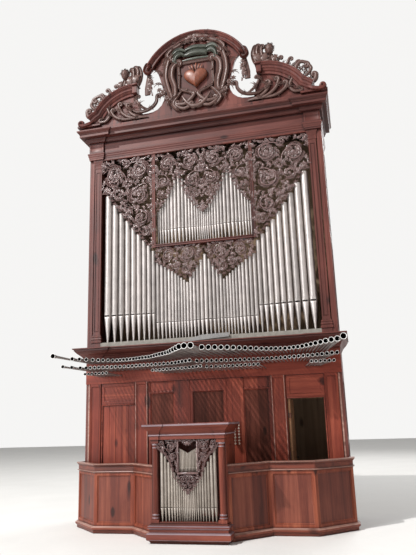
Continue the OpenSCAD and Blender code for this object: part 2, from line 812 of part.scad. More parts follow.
module impost() {
    color(wood) difference() {
        translate([0, 0, board_top])
            broken_moulding(impost_profile, body_half, break_x, case_d, impost_side_out / impost_out);
        both_sides() block([body_half - board_t * 2, wall_recess, board_top - 1],
            [body_half, case_d + 1, impost_top + 1]);
    }
}

// Main case, pipe front

module toe_board() {
    color(toe_grey) block([-opening_half, 0, impost_top], [opening_half, toe_board_d, feet_z]);
}

module upper_pilasters() {
    d = wall_back;
    plinth = toe_board_h;
    color(wood) both_sides() {
        translate([half - column_inset - column_w / 2, 0, 0]) {
            block([-column_w / 2, 0, impost_top], [column_w / 2, d, impost_top + plinth]);
            pilaster(column_w - 30, d, impost_top + plinth, head_z, 190, 250, 15);
        }
        block([half - column_inset, wall_recess, impost_top], [body_half - board_t, wall_back, head_z]);
    }
}

module upper_stiles() {
    color(wood) both_sides() block([stile_in, 0, shelf_z - shelf_t], [stile_out, board_t, head_z]);
}

module upper_shelf() {
    proud = 25;
    color(wood) {
        block([-stile_in, -proud, shelf_z - shelf_t], [stile_in, pipe_y + 75, shelf_z]);
    }
}

// Lower edge of the side shades: from the pilaster down to the stile
function side_edge(x) = feet_z + side_mouth_h + side_longest * pow(side_shortest / side_longest,
    (bay_edge - x) / (bay_edge - stile_x));

// The openwork of a carving: square openings in rows under its top, where there is room
module openwork(x0, columns, pitch, top, low) {
    bar = 0.32;
    for (i = [0:columns - 1], j = [0:12]) {
        a = x0 + (i + bar / 2) * pitch;
        b = a + (1 - bar) * pitch;
        z = top - (j + 1 - bar / 2) * pitch;
        if (z > low(a, b) + bar * pitch / 2) translate([a, z]) square((1 - bar) * pitch);
    }
}

module shades_side() {
    step = (opening_half - stile_out) / 8;
    lower = [for (i = [0:8]) [stile_out + i * step, side_edge(stile_out + i * step) + shade_gap / 2]];
    low = function(a, b) side_edge(b) + shade_gap / 2;
    color(dark_wood) both_sides() upright(-2, shade_t) difference() {
        polygon(concat([[stile_out, head_z]], lower, [[opening_half, head_z]]));
        openwork(stile_out, 6, (opening_half - stile_out) / 6, head_z, low);
    }
}

// Lower edge of the carvings over the upper pipes, following the mitres
function upper_edge(x) = shelf_z + upper_mouth_h + (x < peak_x ?
    upper_longest + (upper_body(peak_inner) - upper_longest) * (peak_x - x) / peak_x :
    upper_longest + (upper_body(peak_outer) - upper_longest) * (x - peak_x) / (stile_in - peak_x));

// Lower edge of the carvings under the shelf, following the centre pipes
function under_edge(x) = feet_z + centre_mouth_h + (x < stile_in * 0.42 ?
    centre_longest + (centre_shortest - centre_longest) * x / (stile_in * 0.42) :
    centre_shortest + (centre_end - centre_shortest) * (x - stile_in * 0.42) / (stile_in * 0.58));

module shades_centre() {
    under = shelf_z - shelf_t;
    apex = [stile_in * 0.42, under_edge(stile_in * 0.42)];
    pitch = stile_in / 6;
    over = function(a, b) shade_gap + (a < peak_x && b > peak_x ? upper_edge(peak_x) :
        max(upper_edge(a), upper_edge(b)));
    low = function(a, b) max(lookup(a, [[shade_gap, under - shade_gap * 2], apex]), under_edge(b));
    color(dark_wood) {
        upright(-2, shade_t) difference() {
            polygon(concat([[-stile_in, head_z]],
                [for (x = [-stile_in, -peak_x, 0, peak_x, stile_in]) [x, upper_edge(abs(x)) + shade_gap]],
                [[stile_in, head_z]]));
            for (s = [0, 1]) mirror([s, 0]) openwork(0, 6, pitch, head_z, over);
        }
        both_sides() upright(-2, shade_t) difference() {
            polygon([[shade_gap, under], [shade_gap, under - shade_gap * 2], apex,
                [stile_in, under_edge(stile_in)], [stile_in, under]]);
            openwork(pitch, 5, pitch, under, low);
        }
    }
}

module entablature() {
    bead_z = head_z + 60;
    bead_t = 70;
    color(wood) {
        block([-body_half + board_t, 0, head_z], [body_half - board_t, board_t, cornice_z]);
        block([-half + lower_pilaster_w, -28, bead_z], [half - lower_pilaster_w, 0, bead_z + bead_t]);
        both_sides() {
            block([break_x, -brk, head_z], [body_half, 0, cornice_z]);
            block([break_x, -brk - 28, bead_z], [body_half + 28, -brk, bead_z + bead_t]);
            block([body_half - board_t, 0, head_z], [body_half, wall_recess, cornice_z]);
            block([body_half, -brk, bead_z], [body_half + 28, case_d, bead_z + bead_t]);
        }
    }
}

cornice_lap = 20;
cornice_steps = [[0.2, 0], [0.25, 0.15], [0.34, 0.22], [0.36, 0.34], [0.76, 0.37], [0.76, 0.62],
    [0.8, 0.67], [0.9, 0.78], [1, 0.88]];
cornice_profile = concat([[-cornice_lap, 0]],
    [for (p = cornice_steps) [p[0] * cornice_out, p[1] * cornice_h]],
    [[cornice_out, cornice_h], [-cornice_lap, cornice_h]]);

module cornice() {
    color(wood) translate([0, 0, cornice_z])
        broken_moulding(cornice_profile, body_half, break_x, case_d, 0.75);
}

// Pediment

pediment_y = -170;
pediment_t = 60;

module pediment_base() {
    reach = cornice_out * 0.28;
    color(wood) block([-body_half - reach, pediment_y - 20, roof_z],
        [body_half + reach, pediment_y + 110, pediment_z]);
}

hood_c = [0, roof_z + hood_rise - hood_r];
hood_end = 22.5;
hood_low_z = hood_c[1] + hood_r * 0.4525;
// One fortieth of the hood's radius measures the ornaments round it
m = hood_r / 40;
crest_c = hood_c + [0, 4.33 * m];
apron_z = pediment_z + 4.3 * m;
neck_low = [35 * m, apron_z];
neck_mid = [23 * m, apron_z + 12 * m];
neck_top = [26 * m, crest_c[1] + 5 * m];

module hood_outline() {
    intersection() {
        translate(hood_c) circle(r = hood_r, $fn = 120);
        translate([-hood_r, hood_low_z]) square([2 * hood_r, hood_r]);
    }
}

// The board behind the cartouche, drawn as half an outline and mirrored
module neck_outline() {
    flare_r = neck_low[0] - neck_mid[0];
    flare_c = neck_low + [0, flare_r];
    apron_x = scroll_x - scroll_r * 0.04;
    half_line = concat([[0, pediment_z], [apron_x, pediment_z], [apron_x, apron_z]],
        arc(flare_c, flare_r, 270, 180, 8), [neck_top, [neck_top[0], hood_low_z + m], [0, hood_low_z + m]]);
    polygon(half_line);
    mirror([1, 0]) polygon(half_line);
}

module pediment_hood() {
    rim_out = 95;
    color(wood) {
        upright(pediment_y, pediment_t) union() {
            hood_outline();
            neck_outline();
        }
        upright(pediment_y - rim_out, rim_out) difference() {
            hood_outline();
            translate(hood_c) circle(r = hood_r - hood_band, $fn = 120);
        }
    }
}

// A heart drawn from two circles and a point below them
module heart_outline(w, h) {
    r = w * 0.29;
    for (s = [-1, 1]) translate([s * (w / 2 - r), 0]) circle(r = r);
    polygon([[-w / 2 + r * 0.2, -r * 0.62], [0, -h + r], [w / 2 - r * 0.2, -r * 0.62],
        [r * 0.5, r * 0.6], [-r * 0.5, r * 0.6]]);
}

module cartouche() {
    c = crest_c + [0, m];
    color(dark_wood) upright(pediment_y - 45, 45) {
        translate(c + [0, 2 * m]) scale([0.78, 1]) circle(r = 16.7 * m);
        translate(c + [-13 * m, 11 * m]) square([26 * m, 6.3 * m]);
        translate(c - [0, 17.3 * m]) circle(r = 5 * m);
    }
    color(heart_red) upright(pediment_y - 100, 55) {
        translate(c - [0, m]) heart_outline(16.7 * m, 14 * m);
        for (i = [-1:1]) polygon([c + [2 * i - 1.3, 0.7] * m, c + [2 * i + 1.3, 0.7] * m,
            c + [3 * i, 7 - abs(i)] * m]);
    }
}

scroll_c = [scroll_x + scroll_r * 0.02, roof_z + scroll_rise - scroll_r];
scroll_foot = 22;
// A point at angle a and the share q of the half pediment's radius
function about(a, q) = scroll_c + scroll_r * q * [cos(a), sin(a)];

// Outline of one moulded half arch, from its inner end down to its foot
module scroll_outline(band) {
    inner = scroll_x - scroll_r * 0.02;
    polygon(concat([[inner, scroll_c[1] + scroll_r]],
        arc(scroll_c, scroll_r, 89, scroll_foot, 20),
        arc(scroll_c, scroll_r - band, scroll_foot, 89, 20), [[inner, scroll_c[1] + scroll_r - band]]));
}

module half_pediments() {
    rim_out = 100;
    volute = scroll_r * 0.075;
    foot_x = body_half + scroll_r * 0.11;
    toe = about(scroll_foot + 2, 0.96);
    panel_r = 1.01 - scroll_band / scroll_r;
    color(wood) both_sides() {
        upright(pediment_y - rim_out, rim_out + pediment_t) union() {
            scroll_outline(scroll_band);
            polygon([toe + [-2, 0] * volute, toe + [0.4, 0.8] * volute,
                [foot_x - volute * 0.4, pediment_z + 1.86 * volute],
                [foot_x, pediment_z], [toe[0] - volute * 1.3, pediment_z]]);
            translate([foot_x, pediment_z + volute]) circle(r = volute);
        }
        upright(pediment_y, pediment_t) {
            polygon(concat([[scroll_x - scroll_r * 0.04, pediment_z], about(91, panel_r)],
                reversed([for (a = [scroll_foot:4.2:89]) about(a, panel_r)]), [[toe[0], pediment_z]]));
            for (p = [[64, 1.07, 0.08], [55.7, 1.11, 0.075], [50.9, 1.19, 0.12], [45.3, 1.25, 0.09],
                    [37, 1.19, 0.1]])
                translate(about(p[0], p[1])) circle(r = p[2] * scroll_r);
            polygon([about(57, 0.93), about(62.5, 1.06), about(45.9, 1.28), about(34.4, 1.22),
                about(30.5, 1.05)]);
        }
    }
}

// The room of a half arch, which what stands on it stays clear of
module scroll_body() {
    translate(scroll_c) {
        circle(r = scroll_r, $fn = 180);
        translate([-0.5, 0] * scroll_r) square([scroll_r * 0.52, scroll_r]);
    }
}

// A child's head on a leafy neck with a curled wing on the inner side of it
module cherub_heads() {
    head = about(81.3, 1.33);
    head_r = scroll_r * 0.108;
    foot = scroll_c[1] + scroll_r;
    color(dark_wood) both_sides() {
        translate([head[0], pediment_y - head_r * 0.2, head[1]]) sphere(r = head_r);
        upright(pediment_y, pediment_t) difference() {
            polygon([head - [head_r, 0], head + [head_r * 0.85, 0], [head[0] + head_r * 1.1, foot - head_r],
                [head[0] - head_r * 2.2, foot - head_r * 0.3]]);
            scroll_body();
        }
        upright(pediment_y, pediment_t) difference() {
            union() {
                translate(head + [-1.8, 0.33] * head_r) circle(r = head_r * 0.72);
                polygon([head + [-2.52, 0.33] * head_r, head + [-1.1, 0.33] * head_r,
                    [head[0] - head_r * 0.55, foot - head_r], [head[0] - head_r * 2.2, foot - head_r * 0.3]]);
            }
            scroll_body();
        }
    }
}

// Carved drops that hang from the ends of the hood
module hood_drops() {
    x = 34.7 * m;
    z = crest_c[1] - 7.5 * m;
    top = (hood_low_z - z) / m;
    color(dark_wood) both_sides() upright(pediment_y - 30, pediment_t + 30) {
        polygon([for (p = [[-3, 0], [3, 0], [3, 7.7], [1.5, 9.3], [2.3, 16], [2, top], [-2, top],
            [-2.3, 14], [-1, 9.3], [-3, 7]]) [x + p[0] * m, z + p[1] * m]]);
    }
}

// Trumpets

// Length of the trumpets along the front: the place is a share of the front's half width,
// the length a share of the longest trumpet's
top_line = [[-0.99, 0.95], [-0.94, 0.56], [-0.83, 0.35], [-0.70, 0.22], [-0.55, 0.25], [-0.38, 0.35],
    [-0.17, 0.60], [0.02, 0.98], [0.106, 0.98], [0.107, 0.84], [0.30, 0.69], [0.51, 0.45], [0.66, 0.38],
    [0.77, 0.44], [0.89, 0.62], [0.98, 0.76], [1.02, 1.0]];
middle_line = [[-0.99, 0.68], [-0.89, 0.43], [-0.55, 0.37], [-0.17, 0.43], [-0.02, 0.58], [0.025, 0.60],
    [0.026, 0.50], [0.30, 0.39], [0.60, 0.36], [0.85, 0.44], [1.0, 0.54]];
bottom_line = [[-0.98, 0.37], [-0.34, 0.40], [-0.04, 0.49], [0.064, 0.56], [0.065, 0.49], [0.21, 0.43],
    [0.49, 0.45], [1.0, 0.43]];
bottom_groups = [[-0.90, -0.715], [-0.34, 0.49], [0.85, 1.0]];

function bell_d(l) = bell_least + bell_growth * l / 1000;
// Places of trumpets in a row, each next to the last, from x0 to x1
function places(line, x0, x1, shrink, gap) = x0 > x1 ? [] :
    concat([x0], places(line, x0 + bell_d(along(line, x0)) * shrink / 2 + gap
        + bell_d(along(line, x0 + bell_least)) * shrink / 2, x1, shrink, gap));

// One trumpet: a slim cone from the board that opens into a flared, hollow bell
module trumpet(l, d) {
    root_r = 8;
    neck_r = d * 0.27;
    flare = d * 1.5;
    wall = 2.5;
    rotate_extrude($fn = 24) polygon([[0, 0], [root_r, 0], [neck_r, l - flare], [d * 0.34, l - flare * 0.4],
        [d * 0.42, l - flare * 0.12], [d / 2, l], [d / 2 - wall, l], [d * 0.42 - wall, l - flare * 0.14],
        [d * 0.34 - wall, l - flare * 0.4], [neck_r - wall, l - flare], [0, l - flare]]);
}

module trumpet_row(line, x0, x1, h, shrink, gap) {
    for (x = places(line, x0, x1, shrink, gap))
        translate([x, 0, lower_top + h]) rotate([90, 0, 0])
            trumpet(along(line, x), bell_d(along(line, x)) * shrink);
}

row_end = half * 0.975;

module trumpets_top() {
    color(tin) trumpet_row(top_line, -row_end, row_end + bell_growth, row_top_h, 1, bell_gap);
}

module trumpets_middle() {
    color(tin) trumpet_row(middle_line, -row_end, row_end, row_middle_h, 0.75, middle_gap);
}

module trumpets_bottom() {
    color(tin) {
        for (g = bottom_groups)
            trumpet_row(bottom_line, g[0] * half, g[1] * half, row_bottom_h, 0.62, bottom_gap);
    }
}

gallery_floor();
gallery_base_moulding();
end_panels();
front_panels();
canted_panels();
gallery_rail();
chair_plinth();
chair_walls();
chair_columns();
chair_pipes();
chair_carving();
chair_cornice();
case_side_left();
case_side_right();
case_back();
case_roof();
lower_pilasters();
closed_door();
front_left_wall();
front_right_wall();
keydesk_head();
door_heads();
door_leaf();
key_desk();
manuals();
stop_knobs();
trumpet_board();
impost();
toe_board();
upper_pilasters();
upper_stiles();
upper_shelf();
pipes_left();
pipes_centre();
pipes_right();
pipes_upper();
shades_side();
shades_centre();
entablature();
cornice();
pediment_base();
pediment_hood();
cartouche();
half_pediments();
cherub_heads();
hood_drops();
trumpets_top();
trumpets_middle();
trumpets_bottom();
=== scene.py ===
"""The dressed model of a pipe organ on its gallery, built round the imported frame."""

import json
import logging
from dataclasses import dataclass, field, replace
from enum import Enum
from math import asin, atan2, cos, degrees, exp, hypot, log, pi, radians, sin
from typing import Callable, Iterable, Sequence

import bmesh
import bpy
import numpy as np
from mathutils import Matrix, Vector

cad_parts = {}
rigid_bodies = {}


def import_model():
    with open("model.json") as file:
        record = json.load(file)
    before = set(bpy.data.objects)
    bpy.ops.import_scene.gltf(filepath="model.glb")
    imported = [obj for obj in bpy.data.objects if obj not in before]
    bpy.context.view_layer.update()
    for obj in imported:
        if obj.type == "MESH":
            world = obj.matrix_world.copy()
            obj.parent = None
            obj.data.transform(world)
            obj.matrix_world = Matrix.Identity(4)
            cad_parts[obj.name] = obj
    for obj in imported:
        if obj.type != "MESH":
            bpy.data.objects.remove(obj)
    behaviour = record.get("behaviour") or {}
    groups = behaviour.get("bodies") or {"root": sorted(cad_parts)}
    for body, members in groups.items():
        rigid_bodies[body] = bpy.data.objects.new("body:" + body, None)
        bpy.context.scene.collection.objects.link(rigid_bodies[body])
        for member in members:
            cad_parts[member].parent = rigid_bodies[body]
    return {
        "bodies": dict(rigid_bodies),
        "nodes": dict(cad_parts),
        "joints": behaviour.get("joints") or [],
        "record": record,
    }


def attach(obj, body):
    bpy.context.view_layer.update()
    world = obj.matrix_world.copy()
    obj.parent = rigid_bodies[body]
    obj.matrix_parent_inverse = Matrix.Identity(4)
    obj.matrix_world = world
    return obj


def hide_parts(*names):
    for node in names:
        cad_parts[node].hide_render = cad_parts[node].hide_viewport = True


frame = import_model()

LOG = logging.getLogger("organ")
Piece = bpy.types.Object
Flat = tuple[float, float]
Corner = tuple[float, float, float, float]
Circle = tuple[float, float, float]
Colour = tuple[float, float, float]
Shape = Callable[[np.ndarray], np.ndarray]
QUARTER_TURN = Matrix.Rotation(radians(90), 4, "Z")
HALF_TURN = Matrix.Rotation(radians(180), 4, "Z")


class Grain(Enum):
    """Which way the wood's grain runs."""

    UPRIGHT = "upright"
    LEVEL = "level"


class Side(Enum):
    """The two halves of the organ as the player's public sees them."""

    LEFT = -1
    RIGHT = 1


@dataclass(frozen=True)
class Layout:
    """Levels and planes of the case in metres, the same as the frame's."""

    half: float = 2.35
    body: float = 2.43
    depth: float = 1.15
    floor: float = 0.2
    wall_front: float = 0.015
    wall_back: float = 0.06
    lower_top: float = 2.55
    board_top: float = 3.0
    impost_top: float = 3.224
    feet: float = 3.344
    head: float = 7.24
    frieze_top: float = 7.62
    roof: float = 7.84
    pediment: float = 7.93
    opening: float = 2.142
    stile_in: float = 0.98
    stile_out: float = 1.048
    stile_x: float = 1.014
    shelf: float = 5.235
    shelf_under: float = 5.18
    pipe_y: float = 0.1
    break_x: float = 2.11
    brk: float = 0.04
    door_in: float = 1.434
    door_out: float = 2.08
    door_top: float = 2.139


PLAN = Layout()


class Bench:
    """Primitives, cuts and joins, made one at a time as at a workbench."""

    @staticmethod
    def clear() -> None:
        """Leave edit mode with nothing selected."""
        if bpy.context.mode != "OBJECT":
            bpy.ops.object.mode_set(mode="OBJECT")
        bpy.ops.object.select_all(action="DESELECT")

    @staticmethod
    def take(obj: Piece) -> Piece:
        """Select one object alone and make it active.

        Args:
            obj: The object to work on.

        Returns:
            The same object.
        """
        Bench.clear()
        obj.select_set(True)
        bpy.context.view_layer.objects.active = obj
        return obj

    @staticmethod
    def settle(name: str) -> Piece:
        """Name the active object and write its place into its mesh.

        Args:
            name: The piece's name.

        Returns:
            The active object, at the origin.
        """
        obj = bpy.context.object
        obj.name = obj.data.name = name
        bpy.ops.object.transform_apply(location=True, rotation=True, scale=True)
        return obj

    @staticmethod
    def soften(obj: Piece, width: float, steps: int = 1, angle: float = 40) -> Piece:
        """Round the sharp edges of a piece with a bevel.

        Args:
            obj: The piece.
            width: The bevel's width in metres.
            steps: The number of facets across it.
            angle: Edges sharper than this many degrees are rounded.

        Returns:
            The same piece.
        """
        Bench.take(obj)
        bevel = obj.modifiers.new("edges", "BEVEL")
        bevel.width = width
        bevel.segments = steps
        bevel.angle_limit = radians(angle)
        bpy.ops.object.modifier_apply(modifier=bevel.name)
        return obj

    @staticmethod
    def thicken(obj: Piece, depth: float, offset: float = -1) -> Piece:
        """Give a sheet its wall.

        Args:
            obj: The sheet.
            depth: The wall's thickness.
            offset: Where the wall lies about the sheet, from -1 inside to 1 outside.

        Returns:
            The same piece.
        """
        Bench.take(obj)
        wall = obj.modifiers.new("wall", "SOLIDIFY")
        wall.thickness = depth
        wall.offset = offset
        bpy.ops.object.modifier_apply(modifier=wall.name)
        return obj

    @staticmethod
    def outward(obj: Piece, merge: float = 0.0) -> Piece:
        """Merge doubled points and turn every face outwards.

        Args:
            obj: The piece.
            merge: The distance under which points merge, or 0 to keep them all.

        Returns:
            The same piece.
        """
        Bench.take(obj)
        bpy.ops.object.mode_set(mode="EDIT")
        bpy.ops.mesh.select_all(action="SELECT")
        if merge:
            bpy.ops.mesh.remove_doubles(threshold=merge)
        bpy.ops.mesh.normals_make_consistent(inside=False)
        bpy.ops.object.mode_set(mode="OBJECT")
        return obj

    @staticmethod
    def block(
        name: str, low: Sequence[float], high: Sequence[float], bevel: float = 0.003, steps: int = 1
    ) -> Piece:
        """A board with softened edges.

        Args:
            name: The piece's name.
            low: Its lowest corner.
            high: Its highest corner.
            bevel: The width of its rounded edges.
            steps: The facets across each rounded edge.

        Returns:
            The board.
        """
        Bench.clear()
        a, b = Vector(low), Vector(high)
        bpy.ops.mesh.primitive_cube_add(size=1, location=(a + b) / 2, scale=b - a)
        obj = Bench.settle(name)
        if bevel:
            bpy.ops.object.mode_set(mode="EDIT")
            bpy.ops.mesh.select_all(action="SELECT")
            bpy.ops.mesh.bevel(offset=bevel, segments=steps, affect="EDGES")
            bpy.ops.object.mode_set(mode="OBJECT")
        return obj

    @staticmethod
    def loft(
        name: str,
        loop: Sequence[Flat],
        stations: Sequence[Matrix],
        closed: bool = False,
        open_ends: bool = False
    ) -> Piece:
        """Extrude a closed loop of points from station to station.

        Args:
            name: The piece's name.
            loop: The loop's points, across and up.
            stations: What carries the loop's flat to each place along the piece.
            closed: Whether the last station meets the first.
            open_ends: Whether the end faces are taken off.

        Returns:
            The piece, its faces outwards.
        """
        Bench.clear()
        count = len(loop)
        flat = [Vector((u, v, 0)) for u, v in loop]
        bpy.ops.mesh.primitive_circle_add(vertices=count, fill_type="NGON")
        obj = Bench.settle(name)
        bpy.ops.object.mode_set(mode="EDIT")
        mesh = bmesh.from_edit_mesh(obj.data)
        slot = mesh.verts.layers.int.new("loop")
        for i, v in enumerate(mesh.verts):
            v[slot] = i
            v.co = stations[0] @ flat[i]
        bmesh.update_edit_mesh(obj.data)
        for station in list(stations[1:]) + ([stations[0]] if closed else []):
            bpy.ops.mesh.extrude_region_move()
            mesh = bmesh.from_edit_mesh(obj.data)
            slot = mesh.verts.layers.int["loop"]
            for v in mesh.verts:
                if v.select:
                    v.co = station @ flat[v[slot]]
            bmesh.update_edit_mesh(obj.data)
        if closed or open_ends:
            mesh = bmesh.from_edit_mesh(obj.data)
            ends = [f for f in mesh.faces if len(f.verts) == count and count != 4]
            bmesh.ops.delete(mesh, geom=ends, context="FACES_ONLY")
            bmesh.update_edit_mesh(obj.data)
            bpy.ops.mesh.select_all(action="SELECT")
            bpy.ops.mesh.remove_doubles(threshold=1e-5)
        bpy.ops.mesh.select_all(action="SELECT")
        bpy.ops.mesh.normals_make_consistent(inside=False)
        bpy.ops.object.mode_set(mode="OBJECT")
        obj.data.attributes.remove(obj.data.attributes["loop"])
        return obj

    @staticmethod
    def turn(name: str, rings: Sequence[Flat], sides: int, open_ends: bool = False) -> Piece:
        """A round piece that stands on the origin, built up ring by ring.

        Args:
            name: The piece's name.
            rings: Height and radius of each ring.
            sides: The number of sides.
            open_ends: Whether its ends are left open.

        Returns:
            The piece, its axis along Z.
        """
        loop = [(cos(2 * pi * i / sides), sin(2 * pi * i / sides)) for i in range(sides)]
        stations = [Matrix.Translation((0, 0, z)) @ Matrix.Diagonal((r, r, 1, 1)) for z, r in rings]
        return Bench.loft(name, loop, stations, open_ends=open_ends)

    @staticmethod
    def slab(
        name: str, outline: Sequence[Flat], front: float, back: float, bevel: float = 0.0
    ) -> Piece:
        """A flat piece cut to an outline in X and Z.

        Args:
            name: The piece's name.
            outline: The outline's points.
            front: The Y of its front face.
            back: The Y of its back face.
            bevel: The width of its rounded edges.

        Returns:
            The piece.
        """
        upright = Matrix(((1, 0, 0, 0), (0, 0, 1, 0), (0, 1, 0, 0), (0, 0, 0, 1)))
        stations = [Matrix.Translation((0, y, 0)) @ upright for y in (front, back)]
        obj = Bench.loft(name, outline, stations)
        return Bench.soften(obj, bevel) if bevel else obj

    @staticmethod
    def rod(name: str, path: Sequence[Vector], radii: Sequence[float], sides: int = 6, flat: float = 1.0,
            loop: Sequence[Flat] | None = None) -> Piece:
        """A round or flattened rod along a path in the plane of the front.

        Args:
            name: The piece's name.
            path: Points along the rod.
            radii: The rod's radius at each point.
            sides: The number of sides.
            flat: The rod's depth as a share of its width.
            loop: Another cross-section, across and forward, in units of the radius.

        Returns:
            The rod.
        """
        if loop is None:
            loop = [(cos(2 * pi * (i + 0.5) / sides), flat * sin(2 * pi * (i + 0.5) / sides))
                for i in range(sides)]
        stations = []
        for i, p in enumerate(path):
            along = (path[min(i + 1, len(path) - 1)] - path[max(i - 1, 0)]).normalized()
            across = Vector((-along.z, 0, along.x))
            across = across.normalized() if across.length > 1e-6 else Vector((1, 0, 0))
            forward = along.cross(across).normalized()
            if forward.y > 0:
                forward = -forward
            r = radii[i]
            stations.append(Matrix(((across.x * r, forward.x * r, along.x, p.x),
                (across.y * r, forward.y * r, along.y, p.y), (across.z * r, forward.z * r, along.z, p.z),
                (0, 0, 0, 1))))
        return Bench.loft(name, loop, stations)

    @staticmethod
    def turn_bead(x: float, y: float, low: float, high: float, r: float = 0.008) -> Piece:
        """A half-round bead that runs up a board's edge."""
        bead = Bench.turn("bead", [(0, r * 0.9), (0.002, r), (high - low - 0.002, r),
            (high - low, r * 0.9)], 10)
        return Bench.move(bead, Matrix.Translation((x, y, low)))

    @staticmethod
    def copy(template: Piece, shape: Shape, mirrored: bool = False) -> Piece:
        """A copy of a piece with its own mesh, its points moved by a shape.

        Args:
            template: The piece that is copied.
            shape: What moves the points.
            mirrored: Whether the shape turns the piece into its mirror image.

        Returns:
            The copy.
        """
        twin = template.copy()
        twin.data = template.data.copy()
        bpy.context.scene.collection.objects.link(twin)
        points = np.empty(len(twin.data.vertices) * 3, np.float32)
        twin.data.vertices.foreach_get("co", points)
        moved = np.ascontiguousarray(shape(points.reshape(-1, 3).astype(float)), np.float32)
        twin.data.vertices.foreach_set("co", moved.ravel())
        if mirrored:
            twin.data.flip_normals()
        twin.data.update()
        return twin

    @staticmethod
    def mirror(obj: Piece) -> Piece:
        """The same piece on the other side of the centre line, as a copy."""
        return Bench.copy(obj, lambda p: p * (-1, 1, 1), mirrored=True)

    @staticmethod
    def both(obj: Piece) -> Piece:
        """A piece joined with its mirror image."""
        return Bench.join(obj.name, [obj, Bench.mirror(obj)])

    @staticmethod
    def move(obj: Piece, place: Matrix) -> Piece:
        """Carry a piece's mesh to its place."""
        obj.data.transform(place)
        obj.data.update()
        return obj

    @staticmethod
    def join(name: str, parts: Sequence[Piece]) -> Piece:
        """Join pieces into one.

        Args:
            name: The joined piece's name.
            parts: The pieces, which are used up.

        Returns:
            The joined piece.
        """
        Bench.clear()
        for part in parts:
            part.select_set(True)
        bpy.context.view_layer.objects.active = parts[0]
        if len(parts) > 1:
            bpy.ops.object.join()
        obj = bpy.context.object
        obj.name = obj.data.name = name
        return obj

    @staticmethod
    def scrap(*parts: Piece) -> None:
        """Throw away templates that have been copied."""
        for part in parts:
            bpy.data.objects.remove(part)


class Graph:
    """A short way to write a material's node tree."""

    def __init__(self, name: str) -> None:
        """Start a material with its shader.

        Args:
            name: The material's name.
        """
        self.material = bpy.data.materials.new(name)
        self.material.use_nodes = True
        self.tree = self.material.node_tree
        self.shader = self.tree.nodes["Principled BSDF"]

    def add(self, kind: str, settings: dict | None = None, **inputs: object) -> bpy.types.Node:
        """Add a node with its settings and inputs.

        Args:
            kind: The node's type without its prefix.
            settings: The node's own properties.
            **inputs: Values or sockets for its inputs, spaces written as underscores.

        Returns:
            The node.
        """
        node = self.tree.nodes.new("ShaderNode" + kind)
        for key, value in (settings or {}).items():
            setattr(node, key, value)
        for key, value in inputs.items():
            self.feed(node.inputs[key.replace("_", " ")], value)
        return node

    def surface(self, colour: bpy.types.NodeSocket, rough: bpy.types.NodeSocket, **inputs: float) -> None:
        """Give the shader its colour, its roughness and its other inputs.

        Args:
            colour: The base colour.
            rough: The roughness.
            **inputs: Values for other inputs, spaces written as underscores.
        """
        self.feed(self.shader.inputs["Base Color"], colour)
        self.feed(self.shader.inputs["Roughness"], rough)
        for key, value in inputs.items():
            self.feed(self.shader.inputs[key.replace("_", " ")], value)

    def feed(self, socket: bpy.types.NodeSocket, value: object) -> None:
        """Set a socket, or link it when the value is a socket.

        Args:
            socket: The socket.
            value: What it gets.
        """
        if isinstance(value, bpy.types.NodeSocket):
            self.tree.links.new(value, socket)
        else:
            socket.default_value = value

    def ramp(self, value: bpy.types.NodeSocket, stops: Sequence[tuple[float,
            Colour]]) -> bpy.types.NodeSocket:
        """Colours along a value.

        Args:
            value: The value.
            stops: Places from 0 to 1 with their colours.

        Returns:
            The colour.
        """
        node = self.add("ValToRGB", Fac=value)
        band = node.color_ramp
        while len(band.elements) < len(stops):
            band.elements.new(0.5)
        for element, (place, colour) in zip(band.elements, stops):
            element.position = place
            element.color = (*colour, 1)
        return node.outputs["Color"]

    def sum(self, *terms: tuple[bpy.types.NodeSocket, float]) -> bpy.types.NodeSocket:
        """Values added together, each with its weight."""
        total: bpy.types.NodeSocket | float = 0.0
        for value, weight in terms:
            node = self.add("Math", {"operation": "MULTIPLY_ADD"})
            self.feed(node.inputs[0], value)
            node.inputs[1].default_value = weight
            self.feed(node.inputs[2], total)
            total = node.outputs[0]
        return total

    def noise(self, vector: bpy.types.NodeSocket, scale: float, detail: float = 3.0,
            twist: float = 0.0) -> bpy.types.NodeSocket:
        """A noise value on a vector."""
        return self.add("TexNoise", Vector=vector, Scale=scale, Detail=detail, Distortion=twist).outputs[
            "Fac"]

    def spread(self, value: bpy.types.NodeSocket, low: float, high: float) -> bpy.types.NodeSocket:
        """A value from 0 to 1 spread between two limits."""
        return self.add("MapRange", Value=value, To_Min=low, To_Max=high).outputs["Result"]

    def open(self, distance: float, low: float = 0.0, high: float = 1.0) -> bpy.types.NodeSocket:
        """How open a spot lies, from ambient occlusion: 0 deep in a hollow, 1 on a ridge; the finishes paint
        shade with it.
        """
        room = self.add("AmbientOcclusion", {"samples": 6}, Distance=distance).outputs["AO"]
        return self.add("MapRange", Value=room, From_Min=low, From_Max=high).outputs["Result"]

    def bump(self, height: bpy.types.NodeSocket, strength: float, distance: float) -> None:
        """Let a height stand out of the surface."""
        node = self.add("Bump", Height=height, Strength=strength, Distance=distance)
        self.feed(self.shader.inputs["Normal"], node.outputs["Normal"])

    def place(self, stretch: Sequence[float] = (1, 1, 1)) -> bpy.types.NodeSocket:
        """The piece's own coordinates, stretched along its grain."""
        coords = self.add("TexCoord").outputs["Object"]
        return self.add("Mapping", Vector=coords, Scale=tuple(stretch)).outputs["Vector"]


@dataclass(frozen=True)
class Finish:
    """A finish that becomes a material when the first piece wears it."""

    name: str

    def material(self) -> bpy.types.Material:
        """Build the material, or give the one built before."""
        if self.name not in bpy.data.materials:
            self.mix(Graph(self.name))
        return bpy.data.materials[self.name]

    def mix(self, g: Graph) -> None:
        """Lay the finish's nodes, which each kind of finish does in its own way.

        Args:
            g: The material's graph.
        """
        raise NotImplementedError


